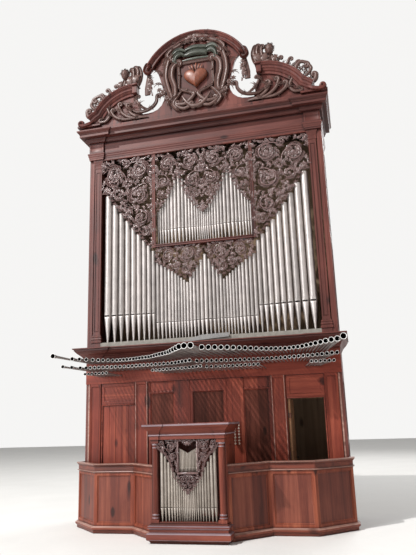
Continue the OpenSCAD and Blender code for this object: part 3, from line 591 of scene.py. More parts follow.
@dataclass(frozen=True)
class StainedWood(Finish):
    """Stained boards with streaks, fibres, knots, a soft shine and painted shade in their corners."""

    dark: Colour
    middle: Colour
    light: Colour
    grain: Grain = Grain.UPRIGHT
    board: float = 0.23
    rough: float = 0.42
    coat: float = 0.04
    shine: float = 0.2

    def mix(self, g: Graph) -> None:
        """Lay the finish's nodes.

        Args:
            g: The material's graph.
        """
        upright = self.grain is Grain.UPRIGHT
        along = g.place((1, 1, 0.05) if upright else (0.05, 1, 1))
        whole = g.place()
        fibre = g.noise(along, 120, 4)
        streak = g.noise(along, 11, 4, 0.8)
        blotch = g.noise(whole, 1.6, 3)
        axis = g.add("SeparateXYZ", Vector=whole).outputs["X" if upright else "Z"]
        cell = g.add("Math", {"operation": "DIVIDE"})
        g.feed(cell.inputs[0], axis)
        cell.inputs[1].default_value = self.board
        index = g.add("Math", {"operation": "FLOOR"})
        g.feed(index.inputs[0], cell.outputs[0])
        tint = g.add("TexWhiteNoise", {"noise_dimensions": "1D"}, W=index.outputs[0]).outputs["Value"]
        knots = g.add("TexVoronoi", {"feature": "SMOOTH_F1"}, Vector=g.place(
            (1, 1, 0.45) if upright else (0.45, 1, 1)), Scale=3.4).outputs["Distance"]
        knot = g.add("MapRange", Value=knots, From_Min=0.04, From_Max=0.16, To_Min=-0.5, To_Max=0.0)
        # Painted shade: darker in corners, joints and narrow gaps, where ambient occlusion finds them.
        corner_shade = g.spread(g.open(0.06, 0.35, 0.95), -0.4, 0.0)
        tone = g.sum((streak, 0.62), (fibre, 0.22), (blotch, 0.3), (tint, 0.22),
            (knot.outputs["Result"], 1.0), (corner_shade, 1.0))
        colour = g.ramp(tone, [(0.36, self.dark), (0.66, self.middle), (0.95, self.light)])
        g.surface(colour, g.spread(streak, self.rough - 0.06, self.rough + 0.14), Coat_Weight=self.coat,
            Coat_Roughness=0.3, Specular_IOR_Level=self.shine)
        g.bump(g.sum((fibre, 0.5), (streak, 0.5)), 0.25, 0.003)


@dataclass(frozen=True)
class CarvedWood(Finish):
    """Varnished carving with painted shade: dark in its hollows and lighter on its open ridges, from ambient
    occlusion.
    """

    # hollow is the painted shade colour for the hollows; body and ridge colour the more open surfaces.
    hollow: Colour
    body: Colour
    ridge: Colour
    rough: float = 0.3
    coat: float = 0.06

    def mix(self, g: Graph) -> None:
        """Lay the finish's nodes.

        Args:
            g: The material's graph.
        """
        whole = g.place()
        # Painted shade: the colour darkens where ambient occlusion finds hollows.
        shade_from_occlusion = g.open(0.03, 0.3, 0.8)
        dust = g.noise(whole, 24, 4)
        patch = g.noise(whole, 3.2, 3)
        tone = g.sum((shade_from_occlusion, 0.62), (dust, 0.25), (patch, 0.3))
        colour = g.ramp(tone, [(0.2, self.hollow), (0.55, self.body), (0.95, self.ridge)])
        g.surface(colour, g.spread(dust, self.rough - 0.05, self.rough + 0.2), Coat_Weight=self.coat,
            Coat_Roughness=0.15, Specular_IOR_Level=0.4)
        g.bump(g.noise(whole, 160, 3), 0.25, 0.002)


@dataclass(frozen=True)
class PipeMetal(Finish):
    """Rolled metal, streaked along its length and different from pipe to pipe."""

    dark: Colour
    light: Colour
    along: tuple[float, float, float] = (1, 1, 0.04)
    rough: float = 0.4
    metallic: float = 0.8

    def mix(self, g: Graph) -> None:
        """Lay the finish's nodes.

        Args:
            g: The material's graph.
        """
        streak = g.noise(g.place(self.along), 38, 4)
        whole = g.place()
        cloud = g.noise(whole, 7, 4, 0.5)
        spots = g.noise(whole, 85, 2)
        own = g.add("NewGeometry").outputs["Random Per Island"]
        tone = g.sum((streak, 0.4), (cloud, 0.38), (spots, 0.12), (own, 0.3))
        colour = g.ramp(tone, [(0.3, self.dark), (0.85, self.light)])
        g.surface(colour, g.spread(cloud, self.rough - 0.08, self.rough + 0.16), Metallic=self.metallic)
        g.bump(g.sum((streak, 0.6), (spots, 0.4)), 0.12, 0.002)


@dataclass(frozen=True)
class Painted(Finish):
    """Plain paint, plaster or ivory with a little grime and unevenness."""

    dark: Colour
    light: Colour
    rough: float = 0.5
    scale: float = 9.0
    shine: float = 0.5

    def mix(self, g: Graph) -> None:
        """Lay the finish's nodes.

        Args:
            g: The material's graph.
        """
        whole = g.place()
        cloud = g.noise(whole, self.scale, 4, 0.4)
        grit = g.noise(whole, self.scale * 14, 2)
        tone = g.sum((cloud, 0.75), (grit, 0.25))
        colour = g.ramp(tone, [(0.3, self.dark), (0.7, self.light)])
        rough = g.spread(cloud, self.rough - 0.08, self.rough + 0.12)
        g.surface(colour, rough, Specular_IOR_Level=self.shine)
        g.bump(grit, 0.2, 0.001)


class Finishes:
    """Every finish of the organ."""

    CASE = StainedWood("case_upright", (0.026, 0.007, 0.005), (0.092, 0.024, 0.018), (0.19, 0.056, 0.042),
        shine=0.26)
    CASE_LEVEL = StainedWood("case_level", (0.025, 0.006, 0.005), (0.084, 0.022, 0.017),
        (0.17, 0.052, 0.04), Grain.LEVEL, shine=0.26)
    LOWER = StainedWood("lower_upright", (0.04, 0.008, 0.005), (0.175, 0.032, 0.019), (0.35, 0.085, 0.047),
        shine=0.16)
    LOWER_LEVEL = replace(LOWER, name="lower_level", grain=Grain.LEVEL)
    PANEL = StainedWood("sunk_panel", (0.024, 0.008, 0.005), (0.085, 0.023, 0.015), (0.17, 0.05, 0.033),
        shine=0.08, coat=0.0)
    PARAPET = StainedWood("parapet_upright", (0.05, 0.012, 0.007), (0.2, 0.044, 0.023), (0.38, 0.12, 0.062),
        shine=0.2)
    PARAPET_LEVEL = StainedWood("parapet_level", (0.05, 0.013, 0.009), (0.18, 0.042, 0.024),
        (0.33, 0.105, 0.06), Grain.LEVEL, coat=0.2)
    # Painted highlight: a pale finish for beads and edges that catch the light.
    PAINTED_HIGHLIGHT = StainedWood("painted_highlight_edges", (0.14, 0.06, 0.045), (0.3, 0.16, 0.125), (0.48, 0.3, 0.25),
        Grain.LEVEL, coat=0.3)
    # Painted sheen: pale cool bands for light caught on the chair case's mouldings.
    SHEEN = StainedWood("painted_sheen_edges", (0.08, 0.04, 0.042), (0.22, 0.15, 0.165), (0.36, 0.28, 0.3),
        Grain.LEVEL, coat=0.3)
    FIELD = StainedWood("parapet_fields", (0.03, 0.008, 0.006), (0.125, 0.03, 0.019), (0.27, 0.08, 0.048),
        shine=0.25)
    HOOD = StainedWood("hood_boards", (0.03, 0.008, 0.006), (0.085, 0.023, 0.018), (0.17, 0.05, 0.038),
        shine=0.2)
    CHAIR = StainedWood("chair_upright", (0.04, 0.01, 0.006), (0.14, 0.03, 0.019), (0.27, 0.07, 0.04),
        coat=0.12)
    CHAIR_LEVEL = replace(CHAIR, name="chair_level", grain=Grain.LEVEL)
    CARVED = CarvedWood("carved", (0.004, 0.002, 0.0015), (0.034, 0.014, 0.012), (0.17, 0.098, 0.092),
        rough=0.18, coat=0.3)
    CREST = CarvedWood("crest_carving", (0.007, 0.003, 0.0025), (0.034, 0.013, 0.01), (0.1, 0.048, 0.038),
        rough=0.34)
    # Door leaf: a paler wood, made paler still as painted light so that it reads lit in the doorway's shade.
    DOOR = StainedWood("door_leaf_wood", (0.22, 0.1, 0.05), (0.5, 0.25, 0.13), (0.68, 0.4, 0.24), coat=0.0,
        rough=0.5)
    INSIDE = StainedWood("inside_boards", (0.02, 0.012, 0.009), (0.05, 0.03, 0.02), (0.09, 0.055, 0.035),
        coat=0.0, rough=0.7, shine=0.2)
    BACK = StainedWood("back_boards_wood", (0.08, 0.05, 0.03), (0.2, 0.13, 0.08), (0.32, 0.22, 0.14),
        coat=0.0, rough=0.7, shine=0.25)
    TIN = PipeMetal("pipe_tin", (0.2, 0.18, 0.17), (0.52, 0.47, 0.45), metallic=0.7)
    # Painted reflection: the chair case's tin is tinted brown for the wood that it mirrors.
    REFLECTION_TINTED_TIN = PipeMetal("chair_tin_painted_reflection", (0.175, 0.145, 0.12), (0.47, 0.41, 0.36), metallic=0.65)
    TRUMPET = PipeMetal("trumpet_tin", (0.15, 0.14, 0.135), (0.4, 0.375, 0.36), along=(1, 0.04, 1),
        rough=0.36, metallic=0.15)
    # Painted highlight: near-white rims for the light that the bells' lips catch.
    RIM_HIGHLIGHT = Painted("painted_rim_highlight", (0.82, 0.8, 0.78), (0.95, 0.93, 0.91), rough=0.34, scale=30)
    # Painted shade: near-black bores for the dark inside the bells.
    BORE_SHADE = Painted("painted_bore_shade", (0.004, 0.003, 0.003), (0.01, 0.009, 0.008), rough=0.9, shine=0.0)
    TOE = Painted("toe_board_paint", (0.16, 0.145, 0.125), (0.3, 0.275, 0.24), rough=0.6)
    GREY = Painted("grey_board_paint", (0.17, 0.165, 0.16), (0.28, 0.27, 0.265), rough=0.6)
    IVORY = Painted("ivory_plates", (0.58, 0.5, 0.38), (0.8, 0.74, 0.62), rough=0.3, scale=40)
    HEART = Painted("heart_red", (0.11, 0.028, 0.013), (0.22, 0.062, 0.03), rough=0.36, scale=16)
    BANNER = Painted("banner_green", (0.026, 0.03, 0.022), (0.075, 0.08, 0.062), rough=0.36, scale=14)
    IRON = Painted("hinge_iron", (0.02, 0.018, 0.017), (0.06, 0.055, 0.05), rough=0.5, scale=60)


class Assembly:
    """What every sub-assembly shares: dressing a piece, hiding the frame's nodes that it stands for, and
    painting the frame's own nodes.
    """

    body: str = "organ"

    def dress(self, obj: Piece, slot: str, *finishes: Finish, nodes: Sequence[str] = (),
            smooth: float = 32) -> Piece:
        """Give a finished piece its finish and its body, and hide the frame's nodes that it stands for.

        Args:
            obj: The piece.
            slot: The record's material slot; not used.
            *finishes: Its finishes, in the order of its material slots.
            nodes: The frame's nodes that it replaces.
            smooth: Edges flatter than this many degrees shade smoothly.

        Returns:
            The piece.
        """
        Bench.take(obj)
        while len(obj.data.materials) < len(finishes):
            obj.data.materials.append(None)
        for i, finish in enumerate(finishes):
            obj.data.materials[i] = finish.material()
        for face in obj.data.polygons:
            if face.material_index >= len(finishes):
                face.material_index = 0
        while len(obj.data.materials) > len(finishes):
            obj.data.materials.pop()
        bpy.ops.object.shade_smooth_by_angle(angle=radians(smooth))
        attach(obj, self.body)
        if nodes:
            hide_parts(*nodes)
        LOG.info("%s: %d faces", obj.name, len(obj.data.polygons))
        return obj

    def paint(self, node: str, finish: Finish) -> None:
        """Give one of the frame's own nodes a better finish."""
        data = frame["nodes"][node].data
        data.materials.clear()
        data.materials.append(finish.material())


def line_at(points: Sequence[Flat], x: float) -> float:
    """The value at x of a line through points, level beyond its ends."""
    return float(np.interp(x, [p[0] for p in points], [p[1] for p in points]))


def shares(weights: Sequence[float], total: float) -> list[float]:
    """Widths in proportion to weights that fill a total."""
    return [w * total / sum(weights) for w in weights]


def arc(centre: Flat, r: float, start: float, end: float, n: int = 16) -> list[Flat]:
    """Points of an arc, its angles in degrees."""
    angles = [radians(start + (end - start) * i / n) for i in range(n + 1)]
    return [(centre[0] + r * cos(a), centre[1] + r * sin(a)) for a in angles]


class Joiner:
    """Mouldings and framed panels."""

    @staticmethod
    def moulding(name: str, profile: Sequence[Flat], path: Sequence[Corner], z: float = 0.0) -> Piece:
        """Run a profile along a path in plan with mitred corners.

        Args:
            name: The piece's name.
            profile: The profile's points, outwards and up.
            path: Each corner's place in plan, and how far it moves for each metre outwards.
            z: The height of the profile's foot.

        Returns:
            The moulding.
        """
        stations = [Matrix(((dx, 0, 0, x), (dy, 0, 0, y), (0, 1, 0, z), (0, 0, 0, 1)))
            for x, y, dx, dy in path]
        return Bench.loft(name, profile, stations)

    @staticmethod
    def around(x0: float, x1: float, front: float, back: float, side: float = 1.0) -> list[Corner]:
        """The path round the front and both sides of a box in plan."""
        return [(x0, back, -side, 0), (x0, front, -side, -1), (x1, front, side, -1), (x1, back, side, 0)]

    @staticmethod
    def broken(side: float = 1.0) -> list[Corner]:
        """The path round the case, brought forward over the end pilasters."""
        right = [(PLAN.break_x, 0, -1, -1), (PLAN.break_x, -PLAN.brk, -1, -1),
            (PLAN.body, -PLAN.brk, side, -1), (PLAN.body, PLAN.depth, side, 0)]
        return [(-x, y, -dx, dy) for x, y, dx, dy in reversed(right)] + right

    @staticmethod
    def finish_bands(obj: Piece, *bands: Flat, index: int = 1) -> None:
        """Give another finish, by rule the second, to the faces between some heights; by default the pale
        finish of painted highlights.

        Args:
            obj: The piece.
            *bands: The lowest and highest height of each band.
            index: The finish's place among the piece's own.
        """
        while len(obj.data.materials) < 2:
            obj.data.materials.append(Finishes.PAINTED_HIGHLIGHT.material())
        for face in obj.data.polygons:
            if any(low < face.center.z < high for low, high in bands):
                face.material_index = index

    @staticmethod
    def framed(name: str, low: Sequence[float], high: Sequence[float], fields: Iterable[Sequence[float]],
            steps: Sequence[Flat] = ((0.001, 0.004), (0.012, 0.006), (0.002, 0.004)), bevel: float = 0.003,
            finishes: Sequence[Finish] = ()) -> Piece:
        """A board front with sunk fields, cut and set back step by step.

        Args:
            name: The piece's name.
            low: The board's lowest corner; the front faces -Y.
            high: The board's highest corner.
            fields: Each field's x0, x1, z0 and z1.
            steps: The width and depth of each step of the moulding round a field.
            bevel: The width of the board's rounded edges.
            finishes: The finishes of the board and of its fields, where they differ.

        Returns:
            The board.
        """
        obj = Bench.block(name, low, high, bevel)
        for finish in finishes:
            obj.data.materials.append(finish.material())
        fields = [tuple(f) for f in fields]
        bpy.ops.object.mode_set(mode="EDIT")
        for x in sorted({v for f in fields for v in f[:2]}):
            bpy.ops.mesh.select_all(action="SELECT")
            bpy.ops.mesh.bisect(plane_co=(x, 0, 0), plane_no=(1, 0, 0))
        for z in sorted({v for f in fields for v in f[2:]}):
            bpy.ops.mesh.select_all(action="SELECT")
            bpy.ops.mesh.bisect(plane_co=(0, 0, z), plane_no=(0, 0, 1))
        for x0, x1, z0, z1 in fields:
            bpy.ops.mesh.select_all(action="DESELECT")
            mesh = bmesh.from_edit_mesh(obj.data)
            for face in mesh.faces:
                c = face.calc_center_median()
                if face.normal.y < -0.9 and x0 < c.x < x1 and z0 < c.z < z1:
                    face.select_set(True)
            bmesh.update_edit_mesh(obj.data)
            for width, depth in steps:
                bpy.ops.mesh.inset(thickness=width, depth=-depth)
            if finishes:
                for face in bmesh.from_edit_mesh(obj.data).faces:
                    if face.select:
                        face.material_index = 1
        bpy.ops.object.mode_set(mode="OBJECT")
        return obj


@dataclass
class Studio:
    """The camera at the photograph's place, the lamps, the floor and the backdrop."""

    place: tuple[float, float, float] = (2.6504, -10.549, 1.7819)
    yaw: float = -0.2396
    pitch: float = 0.2424
    roll: float = -0.0323
    focal_px: float = 582.59
    frame_px: int = 555

    def camera(self) -> None:
        """Set the camera up from its fitted turn and focal length."""
        data = bpy.data.cameras.new("view")
        data.lens = 36.0 * self.focal_px / self.frame_px
        data.clip_end = 200
        forward = Vector((sin(self.yaw) * cos(self.pitch), cos(self.yaw) * cos(self.pitch),
            sin(self.pitch)))
        level = Vector((cos(self.yaw), -sin(self.yaw), 0))
        rise = level.cross(forward)
        right = cos(self.roll) * level + sin(self.roll) * rise
        up = -sin(self.roll) * level + cos(self.roll) * rise
        camera = bpy.data.objects.new("view", data)
        turn = Matrix((right, up, -forward)).transposed().to_4x4()
        camera.matrix_world = Matrix.Translation(self.place) @ turn
        bpy.context.scene.collection.objects.link(camera)
        bpy.context.scene.camera = camera

    def lamp(self, name: str, place: Sequence[float], aim: Sequence[float], size: float, power: float,
            colour: Colour = (1, 1, 1), tall: float = 1.0) -> None:
        """Hang one soft lamp.

        Args:
            name: The lamp's name.
            place: Where it hangs.
            aim: What it points at.
            size: The side of its panel.
            power: Its power in watts.
            colour: Its colour.
            tall: Its height as a share of its width.
        """
        Bench.clear()
        bpy.ops.object.light_add(type="AREA", location=place)
        lamp = bpy.context.object
        lamp.name = name
        lamp.data.shape = "RECTANGLE"
        lamp.data.size = size
        lamp.data.size_y = size * tall
        lamp.data.energy = power
        lamp.data.color = colour
        lamp.rotation_euler = (Vector(aim) - Vector(place)).to_track_quat("-Z", "Y").to_euler()

    def build(self) -> None:
        """Place the camera, the lamps, the world and the floor."""
        self.camera()
        self.lamp("key", (-13.0, -17.0, 25.0), (0, 0, 4.0), 0.6, 9000, (1.0, 0.985, 0.96))
        self.lamp("fill_right", (14.0, -16.0, 9.0), (0, 0, 4.5), 8.0, 200, (1.0, 0.96, 0.92))
        self.lamp("fill_left", (-13.0, -21.0, 10.3), (-2.2, 0, 5.5), 7.0, 3700, (0.93, 0.97, 1.0), 2.7)
        self.lamp("back", (6.0, 16.0, 14.0), (0, 1, 5.0), 8.0, 1500)
        world = bpy.data.worlds.new("studio")
        bpy.context.scene.world = world
        world.use_nodes = True
        tree = world.node_tree
        back = tree.nodes["Background"]
        back.inputs["Color"].default_value = (0.92, 0.915, 0.905, 1)
        ray = tree.nodes.new("ShaderNodeLightPath")
        seen = tree.nodes.new("ShaderNodeMapRange")
        seen.inputs["To Min"].default_value = 0.3
        seen.inputs["To Max"].default_value = 1.0
        either = tree.nodes.new("ShaderNodeMath")
        either.operation = "MAXIMUM"
        tree.links.new(ray.outputs["Is Camera Ray"], either.inputs[0])
        clear = tree.nodes.new("ShaderNodeMath")
        clear.operation = "MAXIMUM"
        tree.links.new(ray.outputs["Is Glossy Ray"], clear.inputs[0])
        tree.links.new(ray.outputs["Is Transmission Ray"], clear.inputs[1])
        tree.links.new(clear.outputs[0], either.inputs[1])
        tree.links.new(either.outputs[0], seen.inputs["Value"])
        tree.links.new(seen.outputs["Result"], back.inputs["Strength"])
        Bench.clear()
        bpy.ops.mesh.primitive_plane_add(size=60, location=(0, 10, 0))
        floor = Bench.settle("floor")
        floor.data.materials.append(Painted("floor_paint", (0.78, 0.77, 0.75), (0.84, 0.83, 0.81), 0.7,
            0.8).material())
        bpy.context.scene.view_settings.view_transform = "Standard"


@dataclass
class Gallery(Assembly):
    """The gallery's floor and its panelled parapet."""

    post: float = 0.05
    thick: float = 0.045
    base_top: float = 0.12
    band: float = 0.985
    plan: tuple[Flat, ...] = ((2.475, 0.06), (2.475, -0.131), (1.89, -0.716), (1.17, -0.716), (0.606, -1.28))
    base: tuple[Flat, ...] = ((-0.045, 0), (0.01, 0), (0.016, 0.012), (0.016, 0.05), (0.028, 0.056),
        (0.038, 0.064), (0.045, 0.076), (0.045, 0.096), (0.036, 0.104), (0.026, 0.107), (0.022, 0.12),
        (-0.045, 0.12))
    rail: tuple[Flat, ...] = ((-0.045, 0.985), (0.014, 0.985), (0.024, 0.99), (0.027, 0.995), (0.024, 1.0),
        (0.014, 1.005), (0.005, 1.008), (0.005, 1.078), (0.012, 1.083), (0.02, 1.09), (0.025, 1.1),
        (0.026, 1.107), (0.036, 1.109), (0.04, 1.114), (0.04, 1.126), (0.035, 1.131), (-0.045, 1.131))

    def out(self, i: int) -> Vector:
        """The outward normal of side i in plan."""
        a, b = Vector(self.plan[i]), Vector(self.plan[i + 1])
        d = (b - a).normalized()
        return Vector((-d.y, d.x))

    def path(self) -> list[Corner]:
        """The parapet's corners with how far each moves for a metre outwards."""
        corners = []
        last = len(self.plan) - 1
        for i, (x, y) in enumerate(self.plan):
            if i == 0:
                step = Vector((1, 0))
            elif i == last:
                step = Vector((0, -1)) / abs(self.out(i - 1).y)
            else:
                both = self.out(i - 1) + self.out(i)
                step = both / both.length_squared * 2
            corners.append((x, y, step.x, step.y))
        return corners

    def panel(self, i: int) -> Piece:
        """One side of the parapet with its sunk field, in place.

        Args:
            i: The side's number, from the outer end.

        Returns:
            The side.
        """
        a, b = Vector(self.plan[i]), Vector(self.plan[i + 1])
        d = (b - a).normalized()
        n = self.out(i)
        steps = self.path()
        cut_a = Vector(steps[i][2:]).dot(d) * self.thick
        cut_b = Vector(steps[i + 1][2:]).dot(d) * self.thick
        length = (b - a).length
        fields = [(self.post, length - self.post, self.base_top + self.post, self.band - self.post)]
        obj = Joiner.framed("side", (0, 0, self.base_top), (length, self.thick, self.band), fields,
            ((0.001, 0.005), (0.005, 0.0), (0.001, 0.006), (0.012, 0.005), (0.001, 0.003)), bevel=0.0,
            finishes=(Finishes.PARAPET, Finishes.FIELD))
        for v in obj.data.vertices:
            if v.co.y > self.thick - 0.001:
                v.co.x += -cut_a if v.co.x < length / 2 else -cut_b
        place = Matrix(((d.x, -n.x, 0, a.x), (d.y, -n.y, 0, a.y), (0, 0, 1, 0), (0, 0, 0, 1)))
        return Bench.outward(Bench.move(obj, place))

    def build(self) -> None:
        """Build the mouldings and the panels."""
        path = self.path()
        base = Bench.both(Joiner.moulding("base_moulding", self.base, path))
        # Painted highlight: a pale band along the base's top edge.
        Joiner.finish_bands(base, (self.base_top - 0.026, self.base_top))
        self.dress(base, "parapet_wood", Finishes.PARAPET_LEVEL, Finishes.PAINTED_HIGHLIGHT,
            nodes=["gallery_base_moulding"])
        rail = Bench.both(Joiner.moulding("hand_rail", self.rail, path))
        # Painted highlight: pale bands along the rail's lower bead and its top.
        Joiner.finish_bands(rail, (self.band, self.band + 0.023), (self.band + 0.122, self.band + 0.15))
        self.dress(rail, "parapet_wood", Finishes.PARAPET_LEVEL, Finishes.PAINTED_HIGHLIGHT, nodes=["gallery_rail"])
        for name, sides, node in (("ends", (0, 1), "end_panels"), ("fronts", (2,), "front_panels"),
                ("cants", (3,), "canted_panels")):
            piece = Bench.both(Bench.join("parapet_" + name, [self.panel(i) for i in sides]))
            self.dress(piece, "parapet_wood", Finishes.PARAPET, Finishes.FIELD, nodes=[node])
        self.paint("gallery_floor", Finishes.INSIDE)


@dataclass
class PipeRank:
    """The pipes of the front, copied from one modelled pipe."""

    sides: int = 16
    fill: float = 0.9
    mouth: float = 0.9
    template: Piece | None = None

    def model(self) -> None:
        """Model the pipe: foot from 0 to 1, mouth from 1 to 2, body from 2 to 3, all one wide."""
        rings = [(0, 0.13), (0.5, 0.315), (0.95, 0.482), (1.0, 0.5), (1.14, 0.5), (1.42, 0.5), (1.9, 0.5),
            (2.0, 0.5), (2.97, 0.5), (3.0, 0.5)]
        pipe = Bench.turn("pipe", rings, self.sides, open_ends=True)
        lips = {1.0: 0.4, 1.14: 0.37, 1.42: 0.37, 1.9: 0.45}
        for v in pipe.data.vertices:
            for z, depth in lips.items():
                if abs(v.co.z - z) < 1e-3:
                    v.co.y = max(v.co.y, -depth)
        Bench.take(pipe)
        bpy.ops.object.mode_set(mode="EDIT")
        mesh = bmesh.from_edit_mesh(pipe.data)
        slot = [f for f in mesh.faces if 1.15 < f.calc_center_median().z < 1.4 and f.calc_center_median(
            ).y < -0.33]
        bmesh.ops.delete(mesh, geom=slot, context="FACES")
        bmesh.update_edit_mesh(pipe.data)
        bpy.ops.object.mode_set(mode="OBJECT")
        self.template = Bench.thicken(pipe, 0.03)

    def pipe(self, x: float, y: float, z: float, d: float, foot: float, body: float) -> Piece:
        """Stand one pipe in its place.

        Args:
            x: Its axis along the front.
            y: Its axis behind the front.
            z: The height that it stands on.
            d: Its diameter.
            foot: The length of its foot.
            body: Its length above the mouth.

        Returns:
            The pipe.
        """
        if self.template is None:
            self.model()
        mouth = self.mouth * d

        def shape(p: np.ndarray) -> np.ndarray:
            """Draw out the template's foot, mouth and body to this pipe's lengths."""
            t = p[:, 2]
            height = np.where(t < 1, t * foot, np.where(t < 2, foot + (t - 1) * mouth,
                foot + mouth + (t - 2) * (body - mouth)))
            return np.column_stack((x + p[:, 0] * d, y + p[:, 1] * d, z + height))

        return Bench.copy(self.template, shape)

    def row(self, widths: Sequence[float], bodies: Sequence[float], foot: float, start: float, way: int,
            y: float, z: float) -> list[Piece]:
        """Stand a row of pipes side by side.

        Args:
            widths: The room that each pipe takes.
            bodies: Each pipe's length above its mouth.
            foot: The length of the feet.
            start: Where the row starts.
            way: 1 to run to the right, -1 to the left.
            y: The pipes' axes behind the front.
            z: The height that they stand on.

        Returns:
            The pipes.
        """
        pipes = []
        done = 0.0
        for width, body in zip(widths, bodies):
            pipes.append(self.pipe(start + way * (done + width / 2), y, z, width * self.fill, foot, body))
            done += width
        return pipes


@dataclass
class PipeFront(Assembly):
    """The three flats and the two upper mitres of the main front."""

    rank: PipeRank = field(default_factory=PipeRank)
    side_pipes: int = 9
    centre_pipes: int = 14
    peak_inner: int = 9
    peak_outer: int = 7
    peak_x: float = 0.508

    def sides(self) -> None:
        """The nine great pipes on each side."""
        edge = PLAN.opening - 0.036
        widths = shares([0.94 ** i for i in range(self.side_pipes)], edge - PLAN.stile_x)
        ratio = (1.289 / 2.572) ** (1 / (self.side_pipes - 1))
        bodies = [2.572 * ratio ** i for i in range(self.side_pipes)]
        for side in Side:
            s = side.value
            row = self.rank.row(widths, bodies, 0.501, s * edge, -s, PLAN.pipe_y, PLAN.feet)
            name = side.name.lower()
            self.dress(Bench.join(f"front_pipes_{name}", row), "pipe_metal", Finishes.TIN,
                nodes=[f"pipes_{name}"])

    def centre(self) -> None:
        """The centre flat, a mountain between two valleys."""
        n, low = self.centre_pipes, 5
        widths = shares([1.06 ** abs(i - n / 2) * (0.5 if i == 0 else 1) for i in range(n + 1)],
            PLAN.stile_x)
        bodies = [1.304 + (0.774 - 1.304) * i / low if i <= low else 0.774 + (1.215 - 0.774) * (i - low) / (
            n - low) for i in range(n + 1)]
        pipes = [self.rank.pipe(0, PLAN.pipe_y, PLAN.feet, 2 * widths[0] * self.rank.fill, 0.316, bodies[0])]
        for s in (-1, 1):
            pipes += self.rank.row(widths[1:], bodies[1:], 0.316, s * widths[0], s, PLAN.pipe_y, PLAN.feet)
        self.dress(Bench.join("front_pipes_centre", pipes), "pipe_metal", Finishes.TIN,
            nodes=["pipes_centre"])

    def upper(self) -> None:
        """The two mitres of the upper storey."""
        def weights(n: int, last: float) -> list[float]:
            """Each pipe's share of the width, the one at the peak by half."""
            return [0.92 ** k * (0.5 if k == 0 else last if k == n else 1) for k in range(n + 1)]

        inner = shares(weights(self.peak_inner, 0.5), self.peak_x)
        outer = shares(weights(self.peak_outer, 1), PLAN.stile_in - self.peak_x - 0.006)
        body = [1.245 * 0.855 ** k for k in range(10)]
        y, z, foot, fill = PLAN.pipe_y, PLAN.shelf, 0.305, self.rank.fill
        pipes = [self.rank.pipe(0, y, z, 2 * inner[-1] * fill, foot, body[self.peak_inner])]
        peak = min(2 * inner[0], 2 * outer[0]) * fill
        for s in (-1, 1):
            pipes.append(self.rank.pipe(s * self.peak_x, y, z, peak, foot, body[0]))
            pipes += self.rank.row(inner[1:-1], body[1:], foot, s * (self.peak_x - inner[0]), -s, y, z)
            pipes += self.rank.row(outer[1:], body[1:], foot, s * (self.peak_x + outer[0]), s, y, z)
        self.dress(Bench.join("front_pipes_upper", pipes), "pipe_metal", Finishes.TIN, nodes=["pipes_upper"])

    def build(self) -> None:
        """Build all the front's pipes."""
        self.sides()
        self.centre()
        self.upper()
        Bench.scrap(self.rank.template)


